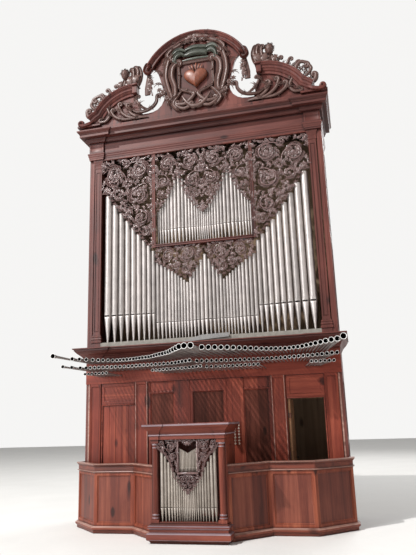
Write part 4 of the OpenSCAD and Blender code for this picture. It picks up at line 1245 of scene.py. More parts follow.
@dataclass
class Trumpets(Assembly):
    """Three rows of horizontal trumpets with flared bells."""

    sides: int = 16
    longest: float = 1.9
    least: float = 0.061
    growth: float = 0.011
    fan: float = 0.36
    top: tuple[Flat, ...] = ((-0.99, 0.95), (-0.94, 0.56), (-0.83, 0.35), (-0.70, 0.22), (-0.55, 0.25),
        (-0.38, 0.35), (-0.17, 0.60), (0.02, 0.98), (0.106, 0.98), (0.107, 0.84), (0.30, 0.69),
        (0.51, 0.45), (0.66, 0.38), (0.77, 0.44), (0.89, 0.62), (0.98, 0.76), (1.05, 0.84), (1.09, 1.01),
        (1.2, 1.05))
    middle: tuple[Flat, ...] = ((-0.99, 0.68), (-0.89, 0.43), (-0.55, 0.37), (-0.17, 0.43), (-0.02, 0.58),
        (0.025, 0.60), (0.026, 0.50), (0.30, 0.39), (0.60, 0.36), (0.85, 0.44), (1.0, 0.54))
    bottom: tuple[Flat, ...] = ((-0.98, 0.37), (-0.34, 0.40), (-0.04, 0.49), (0.064, 0.56), (0.065, 0.49),
        (0.21, 0.43), (0.49, 0.45), (1.0, 0.43))

    def model(self) -> Piece:
        """Model one trumpet: cone from 0 to 1, bell from 1 to 2, one wide at its mouth."""
        rings = [(0, 0.1), (0.5, 0.185), (1.0, 0.27), (1.35, 0.33), (1.7, 0.4), (1.9, 0.455), (1.965, 0.49),
            (1.98, 0.51), (2.0, 0.515), (2.02, 0.505), (2.018, 0.47), (1.985, 0.43), (1.9, 0.39),
            (1.7, 0.34), (1.35, 0.27), (1.0, 0.2)]
        trumpet = Bench.turn("trumpet", rings, self.sides)
        for finish in (Finishes.TRUMPET, Finishes.RIM_HIGHLIGHT, Finishes.BORE_SHADE):
            trumpet.data.materials.append(finish.material())
        # Painted highlight on each bell's lip (lit) and painted shade in its bore (inside); tin elsewhere.
        for face in trumpet.data.polygons:
            centre = sum((trumpet.data.vertices[i].co for i in face.vertices), Vector()) / len(face.vertices)
            radius = hypot(centre.x, centre.y)
            inside = centre.z > 0.9 and radius < 0.975 * np.interp(centre.z, *zip(*rings[:10])) - 0.02
            lit = centre.z > 1.99
            face.material_index = 1 if lit else 2 if inside else 0
        return trumpet

    def bell(self, length: float) -> float:
        """The width of a bell from its trumpet's length."""
        return self.least + self.growth * length ** 2

    def row(self, name: str, line: Sequence[Flat], spans: Sequence[Flat], height: float, shrink: float,
            gap: float, model: Piece) -> None:
        """Set a row of trumpets into their board.

        Args:
            name: The row's name.
            line: The trumpets' lengths along the front, in shares.
            spans: Where the row's groups start and end.
            height: The row's height above the board's lower edge.
            shrink: How slim the row is beside the top row.
            gap: The gap between neighbouring bells.
            model: The modelled trumpet.
        """
        pipes = []
        z = PLAN.lower_top + height
        for x0, x1 in spans:
            x = x0
            while x <= x1:
                length = self.longest * line_at(line, x / PLAN.half)
                d = self.bell(length) * shrink
                flare = 1.5 * d
                lean = self.fan * max(0.0, (x - 1.3) / 1.28) ** 1.3

                def shape(p: np.ndarray, x: float = x, length: float = length, d: float = d,
                        flare: float = flare, lean: float = lean) -> np.ndarray:
                    """Lay the template level and give it this trumpet's length, bell and lean."""
                    t = p[:, 2]
                    reach = np.where(t < 1, t * (length - flare), length - flare + (t - 1) * flare)
                    slim = np.where(t < 1e-3, 0.008 / (0.1 * d), 1.0)
                    across = x - lean * (1 - reach / length)
                    return np.column_stack((across + p[:, 0] * d * slim, -reach, z + p[:, 1] * d * slim))

                pipes.append(Bench.copy(model, shape))
                ahead = self.longest * line_at(line, (x + self.least) / PLAN.half)
                x += (d + self.bell(ahead) * shrink) / 2 + gap
        self.dress(Bench.join("trumpet_row_" + name, pipes), "trumpet_metal", Finishes.TRUMPET,
            Finishes.RIM_HIGHLIGHT, Finishes.BORE_SHADE, nodes=["trumpets_" + name])

    def build(self) -> None:
        """Build the three rows."""
        model = self.model()
        end = PLAN.half * 0.975
        h = PLAN.half
        self.row("top", self.top, [(-end, 1.1 * h)], 0.39, 1.0, 0.007, model)
        self.row("middle", self.middle, [(-end, 1.03 * h)], 0.24, 0.88, 0.018, model)
        self.row("bottom", self.bottom, [(-0.9 * h, -0.715 * h), (-0.34 * h, 0.49 * h), (0.84 * h, h)],
            0.14, 0.76, 0.02, model)
        Bench.scrap(model)


@dataclass
class Casework(Assembly):
    """Boards, pilasters and mouldings of the main case."""

    impost_profile: tuple[Flat, ...] = ((-0.045, 0), (0.012, 0), (0.018, 0.02), (0.03, 0.026),
        (0.042, 0.036), (0.06, 0.056), (0.085, 0.075), (0.11, 0.086), (0.115, 0.094), (0.15, 0.108),
        (0.19, 0.13), (0.22, 0.15), (0.237, 0.168), (0.255, 0.172), (0.257, 0.198), (0.285, 0.2),
        (0.295, 0.206), (0.295, 0.218), (0.288, 0.224), (-0.045, 0.224))
    cornice_profile: tuple[Flat, ...] = ((-0.02, 0), (0.05, 0), (0.05, 0.014), (0.058, 0.02),
        (0.062, 0.033), (0.074, 0.045), (0.085, 0.05), (0.088, 0.076), (0.1, 0.081), (0.187, 0.082),
        (0.19, 0.086), (0.19, 0.136), (0.197, 0.14), (0.2, 0.148), (0.206, 0.157), (0.218, 0.168),
        (0.233, 0.176), (0.243, 0.184), (0.246, 0.192), (0.25, 0.195), (0.25, 0.215), (0.245, 0.22),
        (-0.02, 0.22))
    bead_profile: tuple[Flat, ...] = ((-0.02, 0.0), (0.006, 0.0), (0.008, 0.03), (0.014, 0.036),
        (0.018, 0.05), (0.018, 0.07), (0.024, 0.078), (0.028, 0.088), (0.028, 0.104), (0.02, 0.112),
        (0.006, 0.118), (-0.02, 0.118))
    base_profile: tuple[Flat, ...] = ((-0.02, 0), (0.012, 0), (0.015, 0.006), (0.015, 0.034), (0.01, 0.042),
        (0.003, 0.05), (0.003, 0.062), (0.009, 0.068), (0.012, 0.078), (0.009, 0.09), (0.002, 0.097),
        (0.0, 0.11), (0.005, 0.116), (0.007, 0.124), (0.005, 0.132), (-0.004, 0.14), (-0.012, 0.16),
        (-0.02, 0.16))
    cap_profile: tuple[Flat, ...] = ((-0.02, 0), (-0.013, 0), (-0.008, 0.004), (-0.006, 0.016),
        (-0.012, 0.024), (-0.013, 0.085), (-0.006, 0.1), (0.0, 0.12), (0.002, 0.14), (0.008, 0.15),
        (0.01, 0.165), (0.014, 0.175), (0.014, 0.2), (-0.02, 0.2))
    # Painted sheen: pale bands along the tops of the plinth's tori and fillets.
    loose: tuple[Flat, ...] = ((-0.46, 3.262), (-0.07, 3.368), (0.45, 3.376), (0.447, 3.302), (-0.44, 3.25))

    def mouldings(self) -> None:
        """The impost, the architrave bead and the cornice."""
        impost = Joiner.moulding("impost_moulding", self.impost_profile, Joiner.broken(0.5), PLAN.board_top)
        self.dress(impost, "case_wood", Finishes.CASE_LEVEL, nodes=["impost"])
        cornice = Joiner.moulding("crown_cornice", self.cornice_profile, Joiner.broken(0.75),
            PLAN.frieze_top)
        self.dress(cornice, "case_wood", Finishes.CASE_LEVEL, nodes=["cornice"])
        bead = Joiner.moulding("bead", self.bead_profile, Joiner.broken(), PLAN.head + 0.035)
        # Painted sheen: pale bands on the crown's bead and its top edge.
        boards = [
            bead,
            Bench.block("frieze", (-PLAN.break_x, 0, PLAN.head), (PLAN.break_x, 0.045, PLAN.frieze_top),
                0.0),
        ]
        end = Joiner.framed("frieze_end", (PLAN.break_x, -PLAN.brk, PLAN.head),
            (PLAN.body, 0.015, PLAN.frieze_top), [(PLAN.break_x + 0.035, PLAN.body - 0.035,
            PLAN.head + 0.185, PLAN.frieze_top - 0.03)], ((0.001, 0.003), (0.008, 0.004)), bevel=0.002)
        boards.append(Bench.both(end))
        frieze = Bench.join("entablature_boards", boards)
        self.dress(frieze, "case_wood", Finishes.CASE_LEVEL, nodes=["entablature"])

    def upper_pilaster(self) -> None:
        """The tall pilasters at the ends of the pipe front."""
        w, x, back = 0.186, 2.235, PLAN.wall_back
        low, top = PLAN.feet, PLAN.head
        parts = [
            Bench.block("plinth", (x - w / 2, 0, PLAN.impost_top), (x + w / 2, back, low), 0.003),
            Joiner.framed("shaft", (x - w / 2 + 0.018, 0.008, low + 0.15),
                (x + w / 2 - 0.018, back, top - 0.2), [(x - w / 2 + 0.047, x + w / 2 - 0.047, low + 0.22,
                top - 0.28)], ((0.001, 0.003), (0.007, 0.006), (0.006, 0.0), (0.004, -0.005))),
            Joiner.moulding("base", self.base_profile, Joiner.around(x - w / 2, x + w / 2, 0.0, back), low),
            Joiner.moulding("cap", self.cap_profile, Joiner.around(x - w / 2, x + w / 2, 0.0, back),
                top - 0.2),
            Bench.block("margin", (PLAN.half - 0.022, 0.015, PLAN.impost_top),
                (PLAN.body - 0.045, back, top), 0.002),
        ]
        piece = Bench.both(Bench.join("tall_pilasters", parts))
        self.dress(piece, "case_wood", Finishes.CASE, nodes=["upper_pilasters"])

    # Painted sheen: pale bands on the rings of the bases and capitals.
    def stiles(self) -> None:
        """The stiles and the shelf of the upper storey."""
        stile = Joiner.framed("bay_stiles", (PLAN.stile_in, 0, PLAN.shelf_under),
            (PLAN.stile_out, 0.045, PLAN.head), [(PLAN.stile_in + 0.018, PLAN.stile_out - 0.018,
            PLAN.shelf_under + 0.03, PLAN.head - 0.03)], ((0.001, 0.003), (0.004, 0.004)))
        bead = Bench.block("bead", (-PLAN.opening, -0.012, PLAN.head - 0.032),
            (PLAN.opening, 0.04, PLAN.head), 0.009, 3)
        self.dress(Bench.join("bay_stiles", [Bench.both(stile), bead]), "case_wood", Finishes.CASE,
            nodes=["upper_stiles"])
        shelf = Bench.block("shelf", (-PLAN.stile_in, -0.012, PLAN.shelf_under),
            (PLAN.stile_in, 0.175, PLAN.shelf), 0.004)
        nose = Bench.block("nose", (-PLAN.stile_in, -0.025, PLAN.shelf - 0.02),
            (PLAN.stile_in, 0.0, PLAN.shelf), 0.006, 3)
        self.dress(Bench.join("mitre_shelf", [shelf, nose]), "case_wood", Finishes.CASE_LEVEL,
            nodes=["upper_shelf"])
        toe = Bench.block("pale_toe_board", (-PLAN.opening, 0, PLAN.impost_top),
            (PLAN.opening, 0.19, PLAN.feet), 0.003)
        self.dress(toe, "toe_paint", Finishes.TOE, nodes=["toe_board"])
        loose = Bench.slab("grey_board", self.loose, -0.05, -0.042, 0.001)
        self.dress(loose, "toe_paint", Finishes.GREY)

    def build(self) -> None:
        """Build the whole case."""
        self.mouldings()
        self.upper_pilaster()
        self.stiles()


class Carver:
    """Leaves, scrolls and flowers that every carving is put together from."""

    RIDGE = ((-1.0, 0.0), (-0.15, 0.95), (1.0, 0.0), (0.0, -0.25))
    LEAF = ((-1.0, 0.0), (-0.5, 0.36), (0.0, 0.1), (0.5, 0.36), (1.0, 0.0), (0.0, -0.12))

    def __init__(self) -> None:
        """Model the templates, all about one unit large in the plane of the front."""
        self.leaf = self.lobed("leaf", (0.05, 0.17, 0.11, 0.23, 0.13, 0.2, 0.1, 0.015), bend=0.25)
        self.blade = self.lobed("blade", (0.04, 0.1, 0.15, 0.13, 0.08, 0.01), bend=0.12)
        self.berry = Bench.move(Bench.turn("berry", [(-0.3, 0.8), (0.25, 0.95), (0.7, 0.6), (0.9, 0.15)],
            7), Matrix.Rotation(radians(90), 4, "X"))
        self.flower = self.rosette()
        self.spray = self.fingered("spray", 150, 4)
        self.hook = self.fingered("hook", 230, 2)
        self.frond = self.fingered("frond", 95, 3)
        self.wing = self.winged("wing", 96, 6)
        self.scroll = self.rinceau("scroll", 1.4, 8, 5, 26)
        self.sprig = self.rinceau("sprig", 0.8, 5, 2, 13)

    @staticmethod
    def lobed(name: str, widths: Sequence[float], bend: float) -> Piece:
        """A hollowed leaf that rises from its foot and rolls over at its tip.

        Args:
            name: The template's name.
            widths: Half the leaf's width at each step along it.
            bend: How far the leaf curves to one side.

        Returns:
            The leaf, from the origin to one unit up.
        """
        last = len(widths) - 1
        path = []
        for i in range(last + 1):
            t = i / last
            path.append(Vector((bend * sin(pi * t * 0.9) * t, -0.16 * sin(pi * min(t * 1.15, 1)), t)))
        return Bench.rod(name, path, widths, loop=Carver.LEAF)

    @staticmethod
    def bent(foot: Vector, heading: float, length: float, turn: float, steps: int) -> list[Vector]:
        """The path of a shoot that curls to the right and rises from the ground.

        Args:
            foot: Where it starts.
            heading: Its direction at the foot, in degrees clockwise from upright.
            length: Its length.
            turn: How far its tip has turned, in degrees.
            steps: The steps along it.

        Returns:
            The path.
        """
        path = [foot]
        for i in range(steps):
            a = radians(heading + turn * ((i + 0.5) / steps) ** 1.5)
            rise = -0.2 * length * cos(pi * 0.85 * (i + 0.5) / steps)
            path.append(path[-1] + Vector((sin(a), rise * 2.4, cos(a))) * length / steps)
        return path

    @staticmethod
    def fingered(name: str, turn: float, fingers: int) -> Piece:
        """An acanthus leaf of ridged fingers that part from a curled spine.

        Args:
            name: The template's name.
            turn: How far the spine's tip has turned, in degrees.
            fingers: The fingers along its outer side.

        Returns:
            The leaf, one unit long from the origin.
        """
        spine = Carver.bent(Vector(), 0, 1.0, turn, 6)
        parts = [Bench.rod(name, spine, (0.02, 0.042, 0.052, 0.048, 0.042, 0.032, 0.01), loop=Carver.RIDGE)]
        for k in range(fingers):
            i = k + 1
            heading = turn * (i / 6) ** 1.5 - 40
            path = Carver.bent(spine[i], heading, 0.52 - 0.07 * k, 90, 3)
            parts.append(Bench.rod("finger", path, (0.024, 0.042, 0.034, 0.01), loop=Carver.RIDGE))
        path = Carver.bent(spine[2], turn * 0.2 + 42, 0.26, 60, 2)
        parts.append(Bench.rod("finger", path, (0.024, 0.036, 0.01), loop=Carver.RIDGE))
        return Bench.join(name, parts)

    @staticmethod
    def winged(name: str, arc: float, fingers: int) -> Piece:
        """An acanthus leaf that lies along a ring, its narrow fingers parting outward.

        Args:
            name: The template's name.
            arc: How much of the ring it covers, clockwise from its top, in degrees.
            fingers: The number of fingers.

        Returns:
            The leaf, on a ring one unit in radius about the origin.
        """
        spine = []
        for i in range(fingers + 1):
            a = radians(arc * i / fingers)
            spine.append(Vector((sin(a), -0.1 * sin(pi * i / fingers), cos(a))))
        widths = [0.022 + 0.04 * sin(pi * min(1, 0.15 + 0.8 * i / fingers)) for i in range(fingers + 1)]
        parts = [Bench.rod(name, spine, widths, loop=Carver.RIDGE)]
        for i in range(fingers):
            grown = 0.62 + 0.38 * sin(pi * (i + 0.6) / fingers)
            path = Carver.bent(spine[i], 90 + arc * i / fingers - 38, 0.78 * grown, 78, 4)
            parts.append(Bench.rod("finger", path, (0.028, 0.046, 0.05, 0.038, 0.012), loop=Carver.RIDGE))
        return Bench.join(name, parts)

    @staticmethod
    def put(template: Piece, x: float, z: float, size: float, angle: float = 0.0, mirrored: bool = False,
            y: float = 0.0, depth: float = 1.0, slim: float = 1.0) -> Piece:
        """Copy a template into place on the front.

        Args:
            template: The template.
            x: Its place across the front.
            z: Its height.
            size: Its size.
            angle: Its turn in degrees, counter-clockwise as seen.
            mirrored: Whether it is turned into its mirror image.
            y: Its place in depth.
            depth: Its relief as a share of its size.
            slim: Its width as a share of its size.

        Returns:
            The copy.
        """
        a = radians(angle)
        c, s = cos(a), sin(a)
        way = -1 if mirrored else 1

        def shape(p: np.ndarray) -> np.ndarray:
            """Turn, size and carry the template's points."""
            u, v = p[:, 0] * way * slim, p[:, 2]
            return np.column_stack((x + size * (c * u - s * v), y + size * depth * p[:, 1],
                z + size * (s * u + c * v)))

        return Bench.copy(template, shape, mirrored)

    def rosette(self) -> Piece:
        """A flower of six petals round a button."""
        parts = [self.put(self.blade, 0, 0, 1.0, 60 * i, y=-0.05, depth=1.5, slim=2.0) for i in range(6)]
        parts.append(self.put(self.berry, 0, 0, 0.3, y=-0.16))
        return Bench.join("rosette", parts)

    def rinceau(self, name: str, turns: float, outer: int, inner: int, steps: int) -> Piece:
        """A spiral stem with leaves along it and a flower at its eye.

        Args:
            name: The template's name.
            turns: The stem's turns.
            outer: The leaves outside the stem.
            inner: The leaves inside it.
            steps: The steps along the stem.

        Returns:
            The scroll, filling a circle one unit large.
        """
        sweep = 2 * pi * turns
        pinch = log(0.74 / 0.24) / sweep

        def at(q: float) -> tuple[Vector, Vector]:
            """The stem's place and direction at a share of its length."""
            a = q * sweep - pi / 2
            r = 0.74 * exp(-pinch * q * sweep)
            spot = Vector((r * cos(a), -0.1 * sin(pi * q), r * sin(a)))
            return spot, Vector((-sin(a), 0, cos(a)))

        path = [at(i / steps)[0] for i in range(steps + 1)]
        radii = [0.03 + 0.05 * sin(pi * min(1, 0.25 + 0.8 * i / steps)) for i in range(steps + 1)]
        parts = [Bench.rod("stem", path, radii, 6, 1.2)]
        for count, side, lean, size in ((outer, -1, 38, 0.62), (inner, 1, 34, 0.5)):
            for i in range(count):
                q = (i + 0.35) / count * (0.72 if side < 0 else 0.8)
                spot, way = at(q)
                heading = degrees(atan2(-way.x, way.z)) + side * lean
                fall = 1.0 - 0.4 * q
                parts.append(self.put(self.spray, spot.x, spot.z, size * fall, heading, mirrored=side > 0,
                    y=spot.y * 0.6, depth=0.9))
        parts.append(self.put(self.flower, 0, 0, 0.24, y=-0.04, depth=1.1))
        return Bench.join(name, parts)

    def clear_templates(self) -> None:
        """Throw the templates away."""
        Bench.scrap(self.leaf, self.blade, self.berry, self.flower, self.spray, self.hook, self.frond,
            self.wing, self.scroll, self.sprig)

    @staticmethod
    def curl(path: Sequence[Sequence[float]], thick: float, tip: float = 0.3, end: float = 0.0,
            turn: float = 1.1, y: float = 0.0, rise: float = 0.3, flat: float = 0.8, steps: int = 7,
            ridged: bool = False, start: float = 0.0) -> Piece:
        """A curved strap or stem that ends in a rolled volute.

        Args:
            path: Points that the stem runs through, across and up.
            thick: Half its greatest width.
            tip: Its thickness at the far end as a share of the greatest.
            end: The radius of the volute at its far end, to the left when positive.
            turn: The volute's turns.
            y: Its place in depth.
            rise: How far its middle stands forward as a share of its length.
            flat: Its depth as a share of its width.
            steps: The steps between two points.
            ridged: Whether a groove runs along it.
            start: The radius of the volute at its near end.

        Returns:
            The stem.
        """
        spots = Carver.smooth(path, steps)
        head = Carver.volute(spots[-2], spots[-1], end, turn) if end else []
        tail = Carver.volute(spots[1], spots[0], start, turn)[::-1] if start else []
        count = len(spots)
        run = tail + spots + head
        radii = []
        for i in range(len(run)):
            j = i - len(tail)
            if j < 0:
                radii.append(thick * (0.45 + 0.45 * (i / len(tail))))
            elif j >= count:
                radii.append(thick * 0.9 * (1 - (1 - tip) * (j - count + 1) / max(1, len(head))))
            else:
                low = 0.9 if start else 0.35
                high = 0.9 if end else tip
                t = j / (count - 1)
                radii.append(thick * (low + (1 - low) * sin(pi * min(t * 1.2, 0.5)) if t < 0.42 else 1 - (
                    1 - high) * ((t - 0.42) / 0.58) ** 1.6))
        points = []
        for i, (px, pz) in enumerate(run):
            points.append(Vector((px, y - rise * thick * sin(pi * i / (len(run) - 1)), pz)))
        loop = None
        if ridged:
            loop = [(-1, -0.3), (-1, 0.35), (-0.62, 0.75), (-0.2, 0.35), (0.2, 0.35), (0.62, 0.75),
                (1, 0.35), (1, -0.3)]
            loop = [(u, v * flat * 1.2) for u, v in loop]
        return Bench.rod("curl", points, radii, 7, flat, loop)

    @staticmethod
    def smooth(path: Sequence[Sequence[float]], steps: int) -> list[Flat]:
        """Points of a smooth curve through a few points.

        Args:
            path: The points that it runs through.
            steps: The steps between two of them.

        Returns:
            The curve's points.
        """
        p = [np.array(q, float) for q in path]
        p = [2 * p[0] - p[1]] + p + [2 * p[-1] - p[-2]]
        spots = []
        for a, b, c, d in zip(p, p[1:], p[2:], p[3:]):
            for i in range(steps):
                t = i / steps
                q = 0.5 * (2 * b + (c - a) * t + (2 * a - 5 * b + 4 * c - d) * t ** 2 + (
                    3 * b - a - 3 * c + d) * t ** 3)
                spots.append((float(q[0]), float(q[1])))
        spots.append((float(p[-2][0]), float(p[-2][1])))
        return spots

    @staticmethod
    def volute(before: Flat, last: Flat, r: float, turns: float) -> list[Flat]:
        """Points that roll on from the end of a path into a spiral.

        Args:
            before: The path's last point but one.
            last: Its last point.
            r: The spiral's radius, which rolls to the left when positive.
            turns: Its turns.

        Returns:
            The spiral's points.
        """
        heading = atan2(last[1] - before[1], last[0] - before[0])
        side = 1 if r > 0 else -1
        size = abs(r)
        cx = last[0] - side * sin(heading) * size
        cz = last[1] + side * cos(heading) * size
        first = atan2(last[1] - cz, last[0] - cx)
        steps = max(6, int(14 * turns))
        spots = []
        for i in range(1, steps + 1):
            t = i / steps
            a = first + side * t * turns * 2 * pi
            q = size * (1 - 0.78 * t)
            spots.append((cx + q * cos(a), cz + q * sin(a)))
        return spots


class Packing:
    """Fills an outline with circles, the greatest first."""

    def __init__(self, outline: Sequence[Flat], step: float = 0.022) -> None:
        """Lay a grid over the outline.

        Args:
            outline: The outline's points.
            step: The grid's step.
        """
        edge = np.array(outline, float)
        low, high = edge.min(0), edge.max(0)
        gx, gz = np.meshgrid(np.arange(low[0], high[0], step), np.arange(low[1], high[1], step))
        spots = np.column_stack((gx.ravel(), gz.ravel()))
        inside = np.zeros(len(spots), bool)
        room = np.full(len(spots), 9.0)
        for a, b in zip(edge, np.roll(edge, -1, 0)):
            cross = (a[1] > spots[:, 1]) != (b[1] > spots[:, 1])
            with np.errstate(divide="ignore", invalid="ignore"):
                at = (b[0] - a[0]) * (spots[:, 1] - a[1]) / (b[1] - a[1]) + a[0]
            inside ^= cross & (spots[:, 0] < at)
            d = b - a
            t = np.clip(((spots - a) @ d) / max(d @ d, 1e-12), 0, 1)
            room = np.minimum(room, np.linalg.norm(spots - (a + t[:, None] * d), axis=1))
        self.spots = spots[inside]
        self.room = room[inside]

    def circles(self, largest: float, least: float, most: int, lap: float = 1.0) -> list[Circle]:
        """Take circles until none of the least size fits.

        Args:
            largest: The greatest radius.
            least: The smallest radius.
            most: The greatest number of circles.
            lap: How far neighbours may share their edges; 1 only touches.

        Returns:
            Each circle's place and radius.
        """
        taken = []
        while len(taken) < most:
            i = int(np.argmax(np.minimum(self.room, largest) - 0.02 * self.spots[
                :, 0] / 3 + 0.01 * self.spots[:, 1]))
            r = min(float(self.room[i]), largest)
            if r < least:
                break
            x, z = self.spots[i]
            taken.append((float(x), float(z), r))
            gap = np.linalg.norm(self.spots - self.spots[i], axis=1) - r * lap
            self.room = np.minimum(self.room, gap)
        return taken

    def holds(self, x: float, z: float, step: float) -> bool:
        """Whether a spot lies in the outline, as near as the grid tells."""
        return bool(np.min(np.abs(self.spots - (x, z)).max(axis=1)) < step)

    def scattered(self, pitch: float, chance: np.random.Generator) -> list[tuple[float, float]]:
        """Spots all over the outline, none nearer to another than a pitch.

        Args:
            pitch: The least distance.
            chance: Where the disorder comes from.

        Returns:
            The spots.
        """
        order = chance.permutation(len(self.spots))
        free = np.ones(len(self.spots), bool)
        taken = []
        for i in order:
            if free[i]:
                taken.append(tuple(self.spots[i]))
                free &= np.linalg.norm(self.spots - self.spots[i], axis=1) > pitch
        return taken


@dataclass
class Shades(Assembly):
    """The carved screens over the pipes: scrolls, sprigs and a frill of leaves."""

    carver: Carver
    y: float = 0.036

    def whorl(self, x: float, z: float, r: float, spin: int, start: float) -> list[Piece]:
        """A stem that winds in to a flower, with leaves along its ring.

        Args:
            x: The eye's place across the front.
            z: The eye's height.
            r: The radius of the whorl.
            spin: 1 where the stem winds counter-clockwise as seen, -1 clockwise.
            start: The direction of the stem's foot from the eye, in radians.

        Returns:
            The stem, its leaves and the flower.
        """
        steps = max(11, int(14 + r * 50))
        ring = 0.6 * r
        path, radii = [], []
        for i in range(steps + 1):
            q = i / steps
            a = start + spin * 2 * pi * (1.3 * q - 0.1)
            far = ring * (1.0 - 0.12 * q - 0.45 * max(0.0, (q - 0.55) / 0.45) ** 1.4) + 0.4 * r * max(
                0.0, 0.12 - q) / 0.12
            path.append(Vector((x + far * cos(a), self.y - 0.014 - 0.07 * r * sin(pi * q),
                z + far * sin(a))))
            radii.append(max(0.005, r * 0.055 * (0.6 + 0.4 * sin(pi * min(1, 0.25 + 0.8 * q)))))
        put, carver = Carver.put, self.carver
        parts = [Bench.rod("stem", path, radii, 6, 1.1), put(carver.flower, x, z, r * 0.22, 40 * start,
            y=self.y - 0.014, depth=0.8)]
        turn = degrees(start) - 90
        for k in range(2):
            size = ring * (1.12 + 0.12 * sin(5.0 * k + 9 * x))
            parts.append(put(carver.wing, x, z, size, turn + spin * (40 + 130 * k), mirrored=spin > 0,
                y=self.y - 0.012, depth=0.8))
        return parts

    def fill(self, outline: Sequence[Flat], largest: float, pitch: float,
            mirrored: bool = False) -> list[Piece]:
        """Fill an outline with whorls of falling size and curled leaves that swirl round them.

        Args:
            outline: The outline, counter-clockwise or not.
            largest: The greatest whorl's radius.
            pitch: The distance between the leaves.
            mirrored: Whether the field is the mirror image of the one on the right.

        Returns:
            The carved parts.
        """
        packing = Packing(outline, pitch * 0.4)
        chance = np.random.default_rng(int(1000 * outline[0][1]) + len(outline))
        spots = packing.scattered(pitch, chance)
        way = -1 if mirrored else 1
        eyes, parts = [], []
        for x, z, r in packing.circles(largest, pitch * 1.15, 40, 0.97):
            if eyes:
                near = min(eyes, key=lambda e: hypot(e[0] - x, e[1] - z) - e[2])
                start, spin = atan2(near[1] - z, near[0] - x), -near[3]
            else:
                start, spin = 1.2, 1
            eyes.append((x, z, r, spin))
            parts += self.whorl(way * x, z, r, way * spin, start if way > 0 else pi - start)
        for x, z in spots:
            cx, cz, r, spin = min(eyes, key=lambda e: hypot(e[0] - x, e[1] - z) / e[2])
            away = hypot(x - cx, z - cz) / r
            luck, second, third = chance.random(3)
            if away < 0.22:
                continue
            out = away > 0.8
            lean = (-30 if out else 18) + 30 * (luck - 0.5)
            heading = degrees(atan2(z - cz, x - cx)) + spin * (90 + lean) - 90
            kind = self.carver.spray if second < 0.7 else self.carver.hook
            size = pitch * (2.0 + 1.1 * third)
            right = (spin > 0) == out
            for swing in (0, 50, -50, 100, -100, 180):
                ahead = radians(heading + swing + 90 - (24 if right else -24))
                if packing.holds(x + 0.56 * size * cos(ahead), z + 0.56 * size * sin(ahead), pitch * 0.45):
                    parts.append(Carver.put(kind, way * x, z, size, way * (heading + swing),
                        mirrored=right == mirrored, y=self.y + 0.006 - 0.35 * pitch * luck, depth=0.7))
                    break
        return parts

    def halves(self, outline: Sequence[Flat], largest: float, pitch: float) -> list[Piece]:
        """Fill an outline and its mirror image, as fill does."""
        return self.fill(outline, largest, pitch) + self.fill(outline, largest, pitch, mirrored=True)

    def screen(self, outline: Sequence[Flat], edge: Sequence[Flat], largest: float, pitch: float,
            leaf: float) -> list[Piece]:
        """Both halves of a screen with the frill under them.

        Args:
            outline: The outline of the right half.
            edge: The points of its lower edge.
            largest: The greatest whorl's radius.
            pitch: The distance between the leaves.
            leaf: The length of the frill's leaves.

        Returns:
            The carved parts.
        """
        parts = self.halves(outline, largest, pitch)
        frill = self.frill(edge, leaf, 0.05)
        return parts + frill + [Bench.mirror(part) for part in frill]

    def frill(self, edge: Sequence[Flat], size: float, pitch: float, down: float = 180) -> list[Piece]:
        """Hang small leaves along a lower edge.

        Args:
            edge: The edge's points.
            size: The leaves' length.
            pitch: The distance between them.
            down: The direction that they hang in, in degrees.

        Returns:
            The leaves.
        """
        parts = []
        rest = pitch / 2
        flip = False
        for (x0, z0), (x1, z1) in zip(edge, edge[1:]):
            length = hypot(x1 - x0, z1 - z0)
            while rest < length:
                t = rest / length
                lean = degrees(atan2(z1 - z0, x1 - x0)) * 0.6
                parts.append(Carver.put(self.carver.spray, x0 + (x1 - x0) * t, z0 + (z1 - z0) * t,
                    size * 1.15, down + lean + (20 if flip else -20), mirrored=flip, y=self.y - 0.006,
                    depth=0.9, slim=1.1))
                flip = not flip
                rest += pitch
            rest -= length
        return parts

    @staticmethod
    def side_edge(x: float) -> float:
        """The height of the side pipes' tops along the front.

        Args:
            x: The place across the front.

        Returns:
            The height.
        """
        widths = shares([0.94 ** i for i in range(9)], PLAN.opening - 0.036 - PLAN.stile_x)
        ratio = (1.289 / 2.572) ** (1 / 8)
        spots, tops, at = [], [], PLAN.opening - 0.036
        for i, w in enumerate(widths):
            spots.append(at - w / 2)
            tops.append(PLAN.feet + 0.501 + 2.572 * ratio ** i)
            at -= w
        return float(np.interp(x, spots[::-1], tops[::-1]))

    @staticmethod
    def upper_edge(x: float) -> float:
        """The height of the upper pipes' tops along the front."""
        away = abs(abs(x) - 0.508)
        k = away / (0.508 / 9 if abs(x) < 0.508 else 0.466 / 7.3)
        return PLAN.shelf + 0.305 + 1.245 * 0.855 ** k

    @staticmethod
    def under_edge(x: float) -> float:
        """The height of the centre pipes' tops along the front."""
        return PLAN.feet + 0.316 + line_at(((0, 1.304), (0.33, 0.774), (1.014, 1.215)), x)

